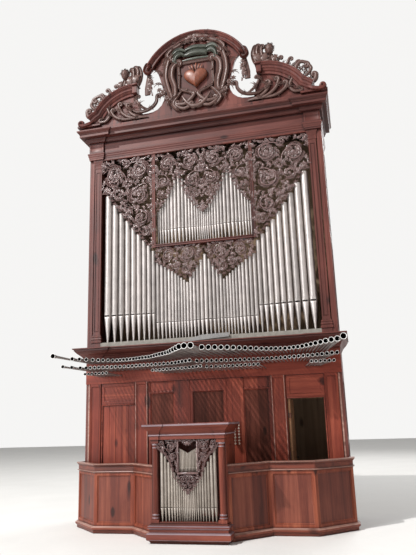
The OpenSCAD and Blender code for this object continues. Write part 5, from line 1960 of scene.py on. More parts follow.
    def build(self) -> None:
        """Carve the side, upper and lower screens."""
        top = PLAN.head - 0.042
        lip = 0.09
        xs = [PLAN.stile_out + (PLAN.opening - PLAN.stile_out) * i / 10 for i in range(11)]
        low = [(x, self.side_edge(x) + lip) for x in xs]
        outline = [(PLAN.stile_out, top)] + low + [(PLAN.opening, top)]
        parts = self.screen(outline, low, 0.27, 0.066, 0.085)
        self.dress(Bench.join("side_screens", parts), "carved_wood", Finishes.CARVED, nodes=["shades_side"],
            smooth=70)
        xs = [PLAN.stile_in * i / 14 for i in range(15)]
        low = [(x, self.upper_edge(x) + 0.035) for x in xs]
        outline = [(0.0, top)] + low + [(PLAN.stile_in, top)]
        parts = self.screen(outline, low, 0.22, 0.06, 0.08)
        under = PLAN.shelf_under
        low = [(0.05, under - 0.06)] + [(x, self.under_edge(x) + 0.08) for x in (
            0.2, 0.3, 0.41, 0.55, 0.75, 0.97)]
        outline = [(0.05, under + 0.02)] + low + [(PLAN.stile_in - 0.01, under + 0.02)]
        parts += self.screen(outline, low, 0.2, 0.057, 0.075)
        self.dress(Bench.join("centre_screens", parts), "carved_wood", Finishes.CARVED,
            nodes=["shades_centre"], smooth=70)


@dataclass
class Pediment(Assembly):
    """The hood with its cartouche, the half pediments and the child's heads."""

    carver: Carver
    front: float = -0.17
    thick: float = 0.06
    hood: Flat = (0.0, 8.55)
    hood_r: float = 1.2
    hood_low: float = 9.093
    scroll: Flat = (1.35, 7.72)
    scroll_r: float = 1.0
    head: Flat = (1.549, 9.035)
    shift: Flat = (-0.05, -0.07)
    head_r: float = 0.112

    @staticmethod
    def bow(name: str, profile: Sequence[Flat], path: Sequence[Flat], y: float, outer: int = 1) -> Piece:
        """Run a moulding along a curve in the plane of the front.

        Args:
            name: The piece's name.
            profile: The profile's points, outwards from the curve and forward.
            path: The curve's points.
            y: The depth of the profile's back.
            outer: 1 where the outside lies left of the path, -1 right.

        Returns:
            The moulding.
        """
        stations = []
        for i, (x, z) in enumerate(path):
            a, b = path[max(i - 1, 0)], path[min(i + 1, len(path) - 1)]
            dx, dz = b[0] - a[0], b[1] - a[1]
            size = hypot(dx, dz)
            nx, nz = -dz / size * outer, dx / size * outer
            stations.append(Matrix(((nx, 0, 0, x), (0, -1, 0, y), (nz, 0, 0, z), (0, 0, 0, 1))))
        return Bench.loft(name, profile, stations)

    def on_scroll(self, angle: float, share: float) -> Flat:
        """A point about the half pediment's centre."""
        a = radians(angle)
        r = self.scroll_r * share
        return self.scroll[0] + r * cos(a), self.scroll[1] + r * sin(a)

    def hood_board(self) -> None:
        """The arched board, its neck and its moulded rim."""
        end = degrees(asin((self.hood_low - self.hood[1]) / self.hood_r))
        inner = self.hood_r - 0.07
        right = arc(self.hood, inner, 90, end, 18) + [(0.99, 9.085), (0.93, 9.075), (0.87, 9.02),
            (0.82, 8.93), (0.78, 8.8), (0.745, 8.66), (0.705, 8.5), (0.69, 8.4), (0.705, 8.3), (0.76, 8.19),
            (0.85, 8.11), (0.95, 8.07), (1.05, 8.059), (1.3, 8.059), (1.31, PLAN.pediment)]
        outline = right + [(-x, z) for x, z in reversed(right[1:])]
        board = Bench.slab("hood_board", outline, self.front, self.front + self.thick, 0.006)
        rim = ((-0.02, 0.0), (-0.02, 0.07), (-0.012, 0.082), (0.0, 0.082), (0.006, 0.06), (0.02, 0.05),
            (0.05, 0.046), (0.062, 0.052), (0.072, 0.07), (0.09, 0.082), (0.1, 0.09), (0.108, 0.108),
            (0.13, 0.112), (0.14, 0.105), (0.142, -0.05), (0.1, -0.06), (0.02, -0.06))
        path = arc(self.hood, self.hood_r - 0.135, 180 - end, end, 44)
        parts = [board, self.bow("hood_rim", rim, path, self.front + 0.005, 1)]
        for s in (1, -1):
            spots = [(s * p[0], p[1]) for p in arc(self.hood, self.hood_r - 0.03, end + 5, end - 2.5, 3)]
            parts.append(Carver.curl(spots, 0.075, 0.35, -s * 0.052, 1.2, y=self.front - 0.045, flat=1.1,
                ridged=True))
        self.dress(Bench.join("arched_hood", parts), "case_wood", Finishes.HOOD, nodes=["pediment_hood"],
            smooth=38)

    def heart(self) -> Piece:
        """The domed heart."""
        loop = []
        for i in range(40):
            t = 2 * pi * i / 40
            loop.append((0.25 * sin(t) ** 3, (13 * cos(t) - 5 * cos(2 * t) - 2 * cos(3 * t) - cos(4 * t))
                / 68))
        stations = []
        for share, lift in ((1.0, 0.0), (1.0, 0.03), (0.97, 0.05), (0.9, 0.07), (0.78, 0.086), (0.6, 0.1),
                (0.38, 0.109), (0.15, 0.113)):
            stations.append(Matrix(((share, 0, 0, 0), (0, 0, 0, self.front - 0.02 - lift),
                (0, share, 0, 8.69), (0, 0, 0, 1))))
        heart = Bench.loft("heart", loop, stations)
        for s in (-2, -1, 0, 1, 2):
            flame = Carver.put(self.carver.blade, 0.045 * s, 8.86, 0.17 - 0.018 * abs(s), -13 * s,
                mirrored=s < 0, y=self.front - 0.035, depth=0.9, slim=0.8)
            heart = Bench.join("heart", [heart, flame])
        return heart

    def shield(self) -> Piece:
        """The squared shield with its raised frame."""
        outline = [(-0.335, 9.03), (0.335, 9.03), (0.325, 8.8), (0.335, 8.5), (0.18, 8.44), (0.0, 8.36),
            (-0.18, 8.44), (-0.335, 8.5), (-0.325, 8.8)]
        field = Bench.slab("shield", outline, self.front - 0.012, self.front + 0.01)
        for finish in (Finishes.CREST, Finishes.HOOD):
            field.data.materials.append(finish.material())
        for face in field.data.polygons:
            face.material_index = 1
        rim = ((0.0, 0.0), (0.0, 0.03), (0.008, 0.045), (0.022, 0.05), (0.03, 0.04), (0.042, 0.04),
            (0.05, 0.055), (0.062, 0.05), (0.07, 0.03), (0.07, 0.0))
        parts = [field]
        for a, b in zip(outline, outline[1:] + outline[:1]):
            parts.append(self.bow("edge", rim, [a, b], self.front, 1))
        for x, z in outline:
            knob = Carver.put(self.carver.berry, x * 1.06, 8.7 + (z - 8.7) * 1.06, 0.034,
                y=self.front - 0.035)
            parts.append(knob)
        return Bench.join("shield", parts)

    def sprays(self, rows: Sequence[Sequence[float]], y: float, **form: float) -> list[Piece]:
        """Fronds from rows of x, z, size and turn, with True after them where one is mirrored."""
        return [Carver.put(self.carver.frond, *row[:4], mirrored=len(row) > 4, y=y, **form) for row in rows]

    def strapwork(self) -> list[Piece]:
        """The scrolled straps on the right of the shield."""
        y = self.front - 0.025
        curl, put, carver = Carver.curl, Carver.put, self.carver
        parts = [
            curl([(0.40, 9.1), (0.5, 8.98), (0.52, 8.78), (0.46, 8.56), (0.45, 8.38)], 0.065, 0.6, 0.06,
                1.2, y=y, ridged=True, start=0.055),
            curl([(0.58, 9.2), (0.63, 9.0), (0.645, 8.78), (0.6, 8.55), (0.53, 8.32)], 0.058, 0.6, 0.05,
                1.2, y=y, ridged=True, start=0.06),
            curl([(0.30, 8.44), (0.42, 8.3), (0.5, 8.16), (0.44, 8.05)], 0.044, 0.5, -0.045, 1.2, y=y,
                ridged=True),
            curl([(0.04, 8.3), (0.12, 8.2), (0.24, 8.12), (0.4, 8.13)], 0.042, 0.5, 0.045, 1.2, y=y,
                start=-0.03),
            curl([(0.30, 8.3), (0.2, 8.14), (0.06, 8.03), (-0.1, 8.05)], 0.042, 0.5, -0.045, 1.2,
                y=y - 0.02),
            curl([(0.5, 8.26), (0.42, 8.1), (0.28, 8.02), (0.16, 8.04)], 0.039, 0.5, -0.04, 1.2, y=y),
            curl([(0.08, 9.62), (0.24, 9.6), (0.36, 9.5), (0.5, 9.44), (0.6, 9.34)], 0.052, 0.6, -0.055,
                1.2, y=y, ridged=True, start=-0.045),
            curl([(0.26, 9.47), (0.42, 9.36), (0.54, 9.24)], 0.047, 0.6, -0.045, 1.2, y=y - 0.01,
                ridged=True),
            *self.sprays(((0.62, 8.98, 0.22, -24), (0.5, 8.62, 0.2, 160), (0.35, 9.52, 0.2, -50),
                (0.2, 9.63, 0.2, -25), (0.3, 8.28, 0.18, 200), (0.7, 9.1, 0.24, 12, True),
                (0.72, 8.86, 0.24, -30), (0.7, 8.62, 0.24, -60), (0.62, 8.4, 0.24, -95),
                (0.5, 8.24, 0.22, -120), (0.36, 8.14, 0.22, -150)), y),
            put(carver.frond, 0.12, 8.1, 0.2, 165, y=y - 0.01),
            *self.sprays(((0.4, 9.44, 0.24, -70), (0.1, 9.5, 0.22, -60)), y),
        ]
        for i in range(9):
            t = i / 8
            x, z = 0.79 - 0.34 * t, 8.52 - 0.36 * t + 0.03 * sin(9 * t)
            kind = carver.flower if i % 2 == 0 else carver.sprig
            parts.append(put(kind, x, z, 0.062 + 0.012 * sin(5 * t), 50 * i, mirrored=i % 2 == 1,
                y=y - 0.015, depth=1.2))
            parts.append(put(carver.frond, x, z, 0.13, 100 + 60 * (i % 3), mirrored=i % 2 == 0, y=y,
                depth=0.8, slim=1.2))
        return parts

    def crest(self) -> list[Piece]:
        """The shell at the head of the cartouche."""
        y = self.front - 0.02
        parts = [Carver.put(self.carver.blade, 0.03 * i, 9.55, 0.27 - 0.018 * abs(i), -21 * i,
            mirrored=i < 0, y=y, depth=1.1, slim=1.5) for i in range(-4, 5)]
        parts.append(Carver.put(self.carver.flower, 0, 9.57, 0.085, y=y - 0.03))
        return parts

    def banner(self) -> Piece:
        """The draped ribbon over the shield."""
        y = self.front - 0.03
        fold = Carver.curl
        parts = [
            fold([(-0.25, 9.36), (0.0, 9.39), (0.25, 9.36)], 0.05, 0.9, y=y, flat=0.9, ridged=True),
            fold([(-0.26, 9.22), (0.0, 9.25), (0.26, 9.22)], 0.062, 0.9, y=y - 0.02, flat=0.9, ridged=True),
            fold([(-0.3, 9.12), (0.0, 9.13), (0.3, 9.12)], 0.03, 0.9, y=y, flat=0.8),
        ]
        wing = [
            fold([(0.2, 9.33), (0.33, 9.37), (0.44, 9.33), (0.5, 9.22)], 0.052, 0.4, y=y - 0.01, flat=0.9,
                ridged=True),
            fold([(0.22, 9.23), (0.33, 9.26), (0.42, 9.2), (0.44, 9.08)], 0.05, 0.4, y=y - 0.03, flat=0.9,
                ridged=True),
            fold([(0.5, 9.24), (0.47, 9.14), (0.4, 9.08)], 0.034, 0.5, 0.03, 1.0, y=y, flat=0.9),
        ]
        return Bench.join("banner", parts + wing + [Bench.mirror(part) for part in wing])

    def cartouche(self) -> None:
        """The whole cartouche in front of the hood."""
        straps = self.strapwork()
        parts = [self.shield()] + self.crest() + straps + [Bench.mirror(part) for part in straps]
        self.dress(Bench.join("cartouche_frame", parts), "carved_wood", Finishes.CREST, Finishes.HOOD,
            nodes=["cartouche"], smooth=70)
        self.dress(self.banner(), "carved_wood", Finishes.BANNER, smooth=70)
        self.dress(self.heart(), "carved_wood", Finishes.HEART, smooth=70)

    def half_pediment(self) -> None:
        """The curved cornices with their boards and foot volutes."""
        crown = ((0.0, 0.0), (0.0, 0.03), (0.01, 0.034), (0.05, 0.036), (0.056, 0.05), (0.066, 0.062),
            (0.085, 0.07), (0.1, 0.085), (0.104, 0.094), (0.142, 0.096), (0.15, 0.102), (0.155, 0.118),
            (0.172, 0.13), (0.186, 0.136), (0.19, 0.146), (0.21, 0.15), (0.215, 0.144), (0.215, -0.055),
            (0.0, -0.055))
        centre, r = self.scroll, self.scroll_r
        rise = arc(centre, r - 0.215, 90, 27, 20)
        foot = [(2.15, 8.02), (2.24, 7.945)]
        band = self.bow("crown", crown, rise + foot, self.front, 1)
        block = Bench.block("block", (centre[0] - 0.085, self.front - 0.12, centre[1] + r - 0.2),
            (centre[0] + 0.02, self.front + 0.05, centre[1] + r - 0.012), 0.006)
        lid = Bench.block("lid", (centre[0] - 0.11, self.front - 0.155, centre[1] + r - 0.03),
            (centre[0] + 0.02, self.front + 0.055, centre[1] + r + 0.002), 0.006, 2)
        roll = Carver.curl([(2.24, 8.06), (2.33, 7.99), (2.44, 7.96), (2.53, 7.965)], 0.05, 0.5, 0.052,
            1.35, y=self.front - 0.05, flat=1.5)
        board = [(centre[0] - 0.2, PLAN.pediment), (centre[0] - 0.1, centre[1] + r - 0.4),
            (centre[0] - 0.02, centre[1] + r - 0.2)]
        board += arc(centre, r - 0.2, 90, 30, 14) + [(2.2, PLAN.pediment)]
        panel = Bench.slab("tympanum", board, self.front, self.front + 0.05)
        foot_block = Bench.block("toe", (2.1, self.front - 0.08, PLAN.pediment - 0.01),
            (2.62, self.front + 0.05, PLAN.pediment + 0.035), 0.006)
        piece = Bench.both(Bench.join("curved_cornices", [band, block, lid, roll, panel, foot_block]))
        self.dress(piece, "case_wood", Finishes.HOOD, nodes=["half_pediments"], smooth=38)

    def fronds(self) -> None:
        """The acanthus in the half pediments, along their backs and in the openings."""
        y = self.front - 0.02
        curl, put = Carver.curl, Carver.put
        parts = [
            curl([(0.85, 8.4), (0.86, 8.28), (0.95, 8.17), (1.1, 8.11), (1.28, 8.11), (1.42, 8.2)], 0.036,
                0.6, y=y, flat=1.1, ridged=True, start=0.045),
            curl([(1.05, 7.97), (1.25, 8.0), (1.42, 8.1), (1.52, 8.28)], 0.036, 0.6, 0.05, 1.2, y=y),
            curl([(1.15, 7.97), (1.42, 8.0), (1.62, 8.14), (1.7, 8.32)], 0.036, 0.6, 0.05, 1.2, y=y - 0.01),
            curl([(1.3, 7.97), (1.6, 7.99), (1.78, 8.08), (1.86, 8.2)], 0.034, 0.6, 0.05, 1.2, y=y - 0.01),
            curl([(1.96, 8.3), (1.9, 8.14), (1.98, 8.02), (2.1, 8.0)], 0.034, 0.6, 0.045, 1.2, y=y,
                start=-0.04),
            curl([(1.0, 8.12), (1.16, 8.2), (1.28, 8.34), (1.3, 8.45)], 0.03, 0.6, 0.045, 1.1, y=y),
        ]
        parts += self.sprays(((1.1, 8.1, 0.2, -30), (1.22, 8.16, 0.22, -10, True), (1.4, 8.1, 0.24, -20),
            (1.48, 8.22, 0.2, 35, True), (1.6, 8.12, 0.24, -35), (1.66, 8.3, 0.18, 30, True),
            (1.8, 8.06, 0.22, -40), (1.88, 8.14, 0.18, 30, True), (2.0, 8.06, 0.16, -70),
            (0.92, 8.1, 0.16, -70, True), (1.2, 8.0, 0.18, -75), (1.36, 8.34, 0.2, 20, True),
            (1.56, 8.0, 0.16, -80), (1.92, 8.26, 0.14, 20)), y - 0.012, slim=1.15)
        for angle, share, size, turn, *flip in ((62, 1.0, 0.16, 20), (58, 1.02, 0.15, -40, True),
                (52, 1.0, 0.19, -8), (48, 1.0, 0.2, -62, True), (42, 1.0, 0.23, -20),
                (38, 1.0, 0.2, -75, True), (34, 1.0, 0.2, -50), (28, 1.02, 0.18, -60, True)):
            x, z = self.on_scroll(angle, share)
            parts += self.sprays([(x, z, size, turn, *flip)], self.front + 0.01, depth=1.1, slim=1.25)
        parts += [
            curl([(1.86, 8.62), (1.9, 8.7), (1.93, 8.76)], 0.03, 0.6, -0.04, 1.1, y=self.front),
            curl([(2.0, 8.52), (2.05, 8.62), (2.07, 8.66)], 0.032, 0.6, -0.045, 1.1, y=self.front),
            curl([(2.06, 8.4), (2.05, 8.54), (2.14, 8.64), (2.27, 8.6)], 0.04, 0.6, -0.06, 1.2,
                y=self.front),
            curl([(2.14, 8.28), (2.27, 8.36), (2.34, 8.46), (2.3, 8.56)], 0.035, 0.6, 0.04, 1.1,
                y=self.front),
            curl([(2.28, 8.12), (2.4, 8.2), (2.43, 8.3)], 0.05, 0.6, 0.05, 1.2, y=self.front),
            put(self.carver.scroll, 2.22, 8.46, 0.12, 40, y=self.front, depth=0.9),
            put(self.carver.sprig, 2.34, 8.2, 0.1, 100, y=self.front, depth=1.2),
            put(self.carver.flower, 1.0, 8.62, 0.05, y=self.front),
        ]
        piece = Bench.both(Bench.join("acanthus", parts))
        self.dress(piece, "carved_wood", Finishes.CREST, smooth=70)

    def cherub(self) -> None:
        """The child's heads, each on an acanthus stem beside a tall curled wing."""
        hx, hz = self.head
        r = self.head_r
        Bench.clear()
        bpy.ops.mesh.primitive_uv_sphere_add(segments=28, ring_count=20, radius=1.0)
        ball = Bench.settle("head")

        def face(p: np.ndarray) -> np.ndarray:
            """Press a ball's points into a child's face.

            Args:
                p: The points of a ball one unit in radius.

            Returns:
                The face's points, in place.
            """
            x, y, z = p[:, 0].copy(), p[:, 1].copy(), p[:, 2].copy()
            fore = np.clip(-y, 0, 1)
            nose = np.exp(-((x / 0.13) ** 2 + ((z + 0.12) / 0.2) ** 2)) * fore
            eyes = (np.exp(-(((x - 0.33) / 0.15) ** 2 + ((z - 0.08) / 0.1) ** 2)) + np.exp(
                -(((x + 0.33) / 0.15) ** 2 + ((z - 0.08) / 0.1) ** 2))) * fore
            cheeks = (np.exp(-(((x - 0.42) / 0.25) ** 2 + ((z + 0.28) / 0.22) ** 2)) + np.exp(
                -(((x + 0.42) / 0.25) ** 2 + ((z + 0.28) / 0.22) ** 2))) * fore
            mouth = np.exp(-((x / 0.18) ** 2 + ((z + 0.48) / 0.05) ** 2)) * fore
            chin = np.exp(-((x / 0.2) ** 2 + ((z + 0.75) / 0.16) ** 2)) * fore
            y = y * 0.95 - 0.17 * nose + 0.1 * eyes - 0.08 * cheeks + 0.06 * mouth - 0.1 * chin
            x = x * (0.86 - 0.1 * np.clip(-z, 0, 1))
            return np.column_stack((hx + x * r, self.front - 0.02 + y * r, hz + z * r * 1.08))

        parts = [Bench.copy(ball, face)]
        Bench.scrap(ball)
        for i in range(26):
            a = radians(-20 + 220 * (i % 13) / 12)
            ring = 0.86 if i < 13 else 0.62
            x, z = ring * 0.86 * cos(a), 0.1 + ring * sin(a) * 0.95
            parts.append(Carver.put(self.carver.sprig, hx + x * r, hz + z * r, 0.034 if i < 13 else 0.03,
                47 * i, mirrored=i % 2 == 0, y=self.front - 0.02 - r * (0.42 if i < 13 else 0.72),
                depth=1.5))
        back = Bench.copy(parts[0], lambda p: np.column_stack((hx + (p[:, 0] - hx) * 1.03,
            self.front + np.maximum(p[:, 1] - self.front, -0.03) * 1.1 + 0.012,
            hz + 0.008 + (p[:, 2] - hz) * 1.02)))
        parts.append(back)
        y = self.front
        curl, put, leaf = Carver.curl, Carver.put, self.carver.leaf
        stem = [
            curl([(1.84, 8.6), (1.74, 8.68), (1.66, 8.8), (1.62, 8.98)], 0.06, 0.8, y=y, ridged=True,
                flat=1.0),
            curl([(1.76, 8.66), (1.62, 8.74), (1.56, 8.86), (1.58, 9.0)], 0.05, 0.8, y=y - 0.01,
                ridged=True),
            curl([(1.68, 8.68), (1.52, 8.76), (1.44, 8.92), (1.42, 9.08), (1.43, 9.19)], 0.05, 0.8, -0.03,
                0.8, y=y - 0.01, ridged=True, flat=1.0),
            curl([(1.6, 8.7), (1.44, 8.78), (1.35, 8.94), (1.325, 9.1), (1.345, 9.22)], 0.052, 0.8, -0.035,
                0.8, y=y, ridged=True, flat=1.0),
            curl([(1.52, 8.7), (1.38, 8.76), (1.28, 8.92), (1.255, 9.08), (1.29, 9.22)], 0.045, 0.8, -0.04,
                0.7, y=y + 0.01, ridged=True, flat=1.0),
            curl([(1.74, 8.8), (1.78, 8.88), (1.8, 8.9)], 0.034, 0.7, -0.032, 1.1, y=y, flat=1.0),
            put(leaf, 1.7, 8.78, 0.2, 10, y=y - 0.02, depth=1.2, slim=1.3),
            put(leaf, 1.62, 8.76, 0.22, 30, mirrored=True, y=y - 0.02, depth=1.2, slim=1.3),
            put(leaf, 1.8, 8.66, 0.2, 50, y=y - 0.02, depth=1.2, slim=1.3),
            put(leaf, 1.5, 8.78, 0.3, 20, y=y - 0.02, slim=1.3),
            put(leaf, 1.42, 8.82, 0.3, 8, mirrored=True, y=y - 0.02, slim=1.3),
        ]
        dx, dz = self.shift
        parts += [Bench.move(part, Matrix.Translation((dx, 0, dz))) for part in stem]
        piece = Bench.both(Bench.join("cherubs", parts))
        self.dress(piece, "carved_wood", Finishes.CREST, nodes=["cherub_heads"], smooth=70)

    def drops(self) -> None:
        """The garlands under the ends of the hood with their dark tapered blocks."""
        x, y = 1.035, self.front - 0.01
        body = [(x - 0.035, 9.1), (x + 0.035, 9.1), (x + 0.03, 8.98), (x + 0.06, 8.86), (x + 0.095, 8.66),
            (x + 0.095, 8.5), (x - 0.02, 8.5), (x - 0.02, 8.7), (x - 0.055, 8.85), (x - 0.03, 8.98)]
        parts = [Bench.slab("drop", body, self.front + 0.01, self.front + 0.055, 0.006)]
        for i in range(11):
            t = i / 10
            px = x - 0.015 - 0.03 * t + 0.022 * sin(11 * t)
            pz = 9.07 - 0.56 * t
            size = 0.03 + 0.035 * sin(pi * min(1, t * 1.1))
            kind = self.carver.flower if i % 2 else self.carver.sprig
            parts.append(Carver.put(kind, px, pz, size, 70 * i, mirrored=i % 2 == 0, y=y, depth=1.3))
            parts.append(Carver.put(self.carver.leaf, px, pz, size * 2.4, 150 + 60 * (i % 2),
                mirrored=i % 2 == 0, y=y + 0.01, depth=0.9, slim=1.3))
        piece = Bench.both(Bench.join("garlands", parts))
        self.dress(piece, "carved_wood", Finishes.CREST, nodes=["hood_drops"], smooth=70)

    def build(self) -> None:
        """Build the whole pediment."""
        self.hood_board()
        self.cartouche()
        self.half_pediment()
        self.fronds()
        self.cherub()
        self.drops()
        self.paint("pediment_base", Finishes.HOOD)


@dataclass
class ChairCase(Assembly):
    """The small case that stands in the front of the gallery."""

    carver: Carver
    half: float = 0.606
    front: float = -1.46
    back: float = -0.7
    plinth: float = 0.285
    frieze: float = 1.527
    top: float = 1.767
    opening: float = 0.466
    bay: float = 0.17
    bay_z: float = 1.03
    apex: float = 0.715
    pipe_y: float = -1.398
    pipes: int = 11
    plinth_profile: tuple[Flat, ...] = ((-0.03, 0), (0.0, 0), (0.006, 0.02), (0.02, 0.04), (0.045, 0.052),
        (0.055, 0.062), (0.055, 0.138), (0.048, 0.15), (0.03, 0.158), (0.016, 0.164), (0.015, 0.205),
        (0.02, 0.212), (0.034, 0.22), (0.04, 0.228), (0.04, 0.246), (0.03, 0.254), (0.014, 0.262),
        (0.012, 0.285), (-0.03, 0.285))
    cornice_profile: tuple[Flat, ...] = ((-0.05, 0), (0.006, 0), (0.006, 0.052), (0.012, 0.056),
        (0.02, 0.062), (0.022, 0.07), (0.02, 0.078), (0.012, 0.084), (0.012, 0.098), (0.016, 0.108),
        (0.028, 0.13), (0.046, 0.152), (0.066, 0.172), (0.08, 0.186), (0.088, 0.2), (0.09, 0.206),
        (0.1, 0.208), (0.1, 0.233), (0.094, 0.24), (-0.05, 0.24))

    def mouldings(self) -> None:
        """The plinth, the frieze and the cornice."""
        path = Joiner.around(-self.half, self.half, self.front, self.back)
        parts = [
            Joiner.moulding("plinth", self.plinth_profile, path),
            Bench.block("toe", (-self.opening, self.front + 0.01, self.plinth),
                (self.opening, self.front + 0.13, self.plinth + 0.025), 0.003),
        ]
        base = Bench.join("chair_base", parts)
        Joiner.finish_bands(base, (0.052, 0.063), (0.139, 0.166), (0.206, 0.229), (0.247, 0.263))
        self.dress(base, "case_wood", Finishes.CHAIR_LEVEL, Finishes.SHEEN, nodes=["chair_plinth"])
        right = [(self.opening - 0.004, 0, -1, -1), (self.opening - 0.004, -0.014, -1, -1),
            (self.half, -0.014, 1, -1), (self.half, self.back - self.front, 1, 0)]
        right = [(x, y + self.front, dx, dy) for x, y, dx, dy in right]
        path = [(-x, y, -dx, dy) for x, y, dx, dy in reversed(right)] + right
        cornice = Joiner.moulding("chair_crown", self.cornice_profile, path, self.frieze)
        lid = Bench.block("lid", (-self.half, self.front, self.top - 0.03),
            (self.half, self.back, self.top - 0.006), 0.0)
        crown = Bench.join("chair_crown", [cornice, lid])
        Joiner.finish_bands(crown, (self.frieze + 0.058, self.frieze + 0.077),
            (self.frieze + 0.207, self.frieze + 0.234))
        self.dress(crown, "case_wood", Finishes.CHAIR_LEVEL, Finishes.SHEEN, nodes=["chair_cornice"])

    def columns(self) -> None:
        """The two reeded columns with their ringed bases and capitals."""
        x = self.half - 0.07
        y = self.front + 0.066
        low, top = self.plinth, self.frieze
        loop = []
        for i in range(36):
            a = 2 * pi * i / 36
            r = 0.047 - (0.005 if i % 3 == 0 else 0.0)
            loop.append((r * cos(a), r * sin(a)))
        shaft = Bench.loft("shaft", loop, [Matrix.Translation((x, y, z)) for z in (low + 0.15, top - 0.13)])
        base = [(0.0, 0.062), (0.02, 0.064), (0.034, 0.06), (0.04, 0.05), (0.052, 0.048), (0.058, 0.054),
            (0.07, 0.056), (0.08, 0.05), (0.086, 0.046), (0.1, 0.044)]
        cap = [(0.0, 0.045), (0.008, 0.05), (0.018, 0.05), (0.024, 0.045), (0.04, 0.045), (0.05, 0.052),
            (0.064, 0.061), (0.075, 0.063), (0.08, 0.06)]
        parts = [
            shaft,
            Bench.move(Bench.turn("base", base, 28), Matrix.Translation((x, y, low + 0.055))),
            Bench.move(Bench.turn("cap", cap, 28), Matrix.Translation((x, y, top - 0.135))),
            Bench.block("foot", (x - 0.068, y - 0.064, low), (x + 0.068, y + 0.064, low + 0.056), 0.004),
            Bench.block("abacus", (x - 0.068, y - 0.064, top - 0.056), (x + 0.068, y + 0.064, top - 0.002),
                0.004),
            Bench.block("backing", (x - 0.058, self.front + 0.09, low),
                (x + 0.0695, self.front + 0.13, top), 0.003),
        ]
        post = Bench.both(Bench.join("chair_posts", parts))
        Joiner.finish_bands(post, (low + 0.07, low + 0.09), (low + 0.112, low + 0.136), (top - 0.13, top - 0.112),
            (top - 0.085, top - 0.062))
        self.dress(post, "case_wood", Finishes.CHAIR, Finishes.SHEEN, nodes=["chair_columns"])

    def walls(self) -> None:
        """The framed sides of the chair case and its back."""
        side = Joiner.framed("side", (self.front + 0.12, -self.half, self.plinth),
            (self.back, -self.half + 0.03, self.frieze), [(self.front + 0.2, self.back - 0.09,
            self.plinth + 0.1, self.frieze - 0.1)], ((0.001, 0.003), (0.008, 0.004), (0.003, 0.0)))
        side = Bench.move(side, QUARTER_TURN)
        parts = [side, Bench.block("back", (0, self.back - 0.03, self.plinth),
            (self.half - 0.031, self.back, self.frieze), 0.002)]
        self.dress(Bench.both(Bench.join("chair_sides", parts)), "case_wood", Finishes.CHAIR,
            nodes=["chair_walls"])

    def pipework(self) -> None:
        """The chair case's pipes and the thirteen of its small bay."""
        rank = PipeRank()
        weights = [0.92 ** i * (0.5 if i == self.pipes else 1) for i in range(self.pipes + 1)]
        widths = shares(weights, self.opening - 0.008)
        ratio = (0.215 / 0.88) ** (1 / self.pipes)
        bodies = [0.88 * ratio ** i for i in range(self.pipes + 1)]
        z = self.plinth + 0.025
        pipes = [rank.pipe(0, self.pipe_y, z, 2 * widths[-1] * rank.fill, 0.19, bodies[-1])]
        for s in (-1, 1):
            pipes += rank.row(widths[:-1], bodies, 0.19, s * (self.opening - 0.008), -s, self.pipe_y, z)
        small = 2 * (self.bay - 0.022) / 13
        for i in range(13):
            pipes.append(rank.pipe((i - 6) * small, self.pipe_y, self.bay_z, small * rank.fill, 0.07,
                0.215 + 0.012 * abs(i - 6)))
        self.dress(Bench.join("chair_pipework", pipes), "pipe_metal", Finishes.REFLECTION_TINTED_TIN,
            nodes=["chair_pipes"])
        Bench.scrap(rank.template)

    def carvings(self) -> None:
        """The carved wings, the bay's frame and the hanging triangle."""
        y, carver = self.front + 0.03, self.carver
        put = Carver.put
        shades = Shades(carver, y=y)
        top = self.frieze
        bay, low = self.bay, self.bay_z
        frame = Joiner.framed("bay_frame", (bay - 0.022, self.front + 0.02, low),
            (bay, self.front + 0.11, top), [], bevel=0.003)
        ledge = Bench.block("ledge", (-bay, self.front + 0.01, low - 0.03), (bay, self.front + 0.11, low),
            0.004)
        wing = [(bay, low - 0.02), (bay, top), (self.opening - 0.004, top),
            (self.opening - 0.004, top - 0.09), (0.41, top - 0.15), (0.33, top - 0.2), (0.26, top - 0.3),
            (0.21, top - 0.42)]
        parts = shades.halves(wing, 0.095, 0.032)
        edge = [(0.2, low - 0.02), (0.22, top - 0.4), (0.27, top - 0.28), (0.34, top - 0.19),
            (0.42, top - 0.14), (self.opening - 0.01, top - 0.08)]
        frill = shades.frill(edge, 0.08, 0.036, 205)
        triangle = [(0.0, low - 0.03), (0.0, self.apex), (0.06, self.apex + 0.09), (0.12, self.apex + 0.17),
            (bay, low - 0.08), (bay, low - 0.03)]
        parts += shades.halves(triangle, 0.07, 0.028)
        frill += shades.frill([(0.0, self.apex + 0.04), (0.07, self.apex + 0.1), (0.13, self.apex + 0.19),
            (bay, low - 0.08)], 0.065, 0.034, 190)
        crown = [(0.0, top + 0.01), (0.0, top - 0.095), (bay - 0.03, top - 0.02), (bay - 0.03, top + 0.01)]
        parts += shades.halves(crown, 0.045, 0.026)
        frill += [put(carver.leaf, 0.01, top - 0.02, 0.09, 165, y=y)]
        parts += frill + [Bench.mirror(leaf) for leaf in frill] + [Bench.both(frame), ledge]
        self.dress(Bench.join("chair_shades", parts), "carved_wood", Finishes.CARVED,
            nodes=["chair_carving"], smooth=70)

    def build(self) -> None:
        """Build the whole chair case."""
        self.mouldings()
        self.columns()
        self.walls()
        self.pipework()
        self.carvings()


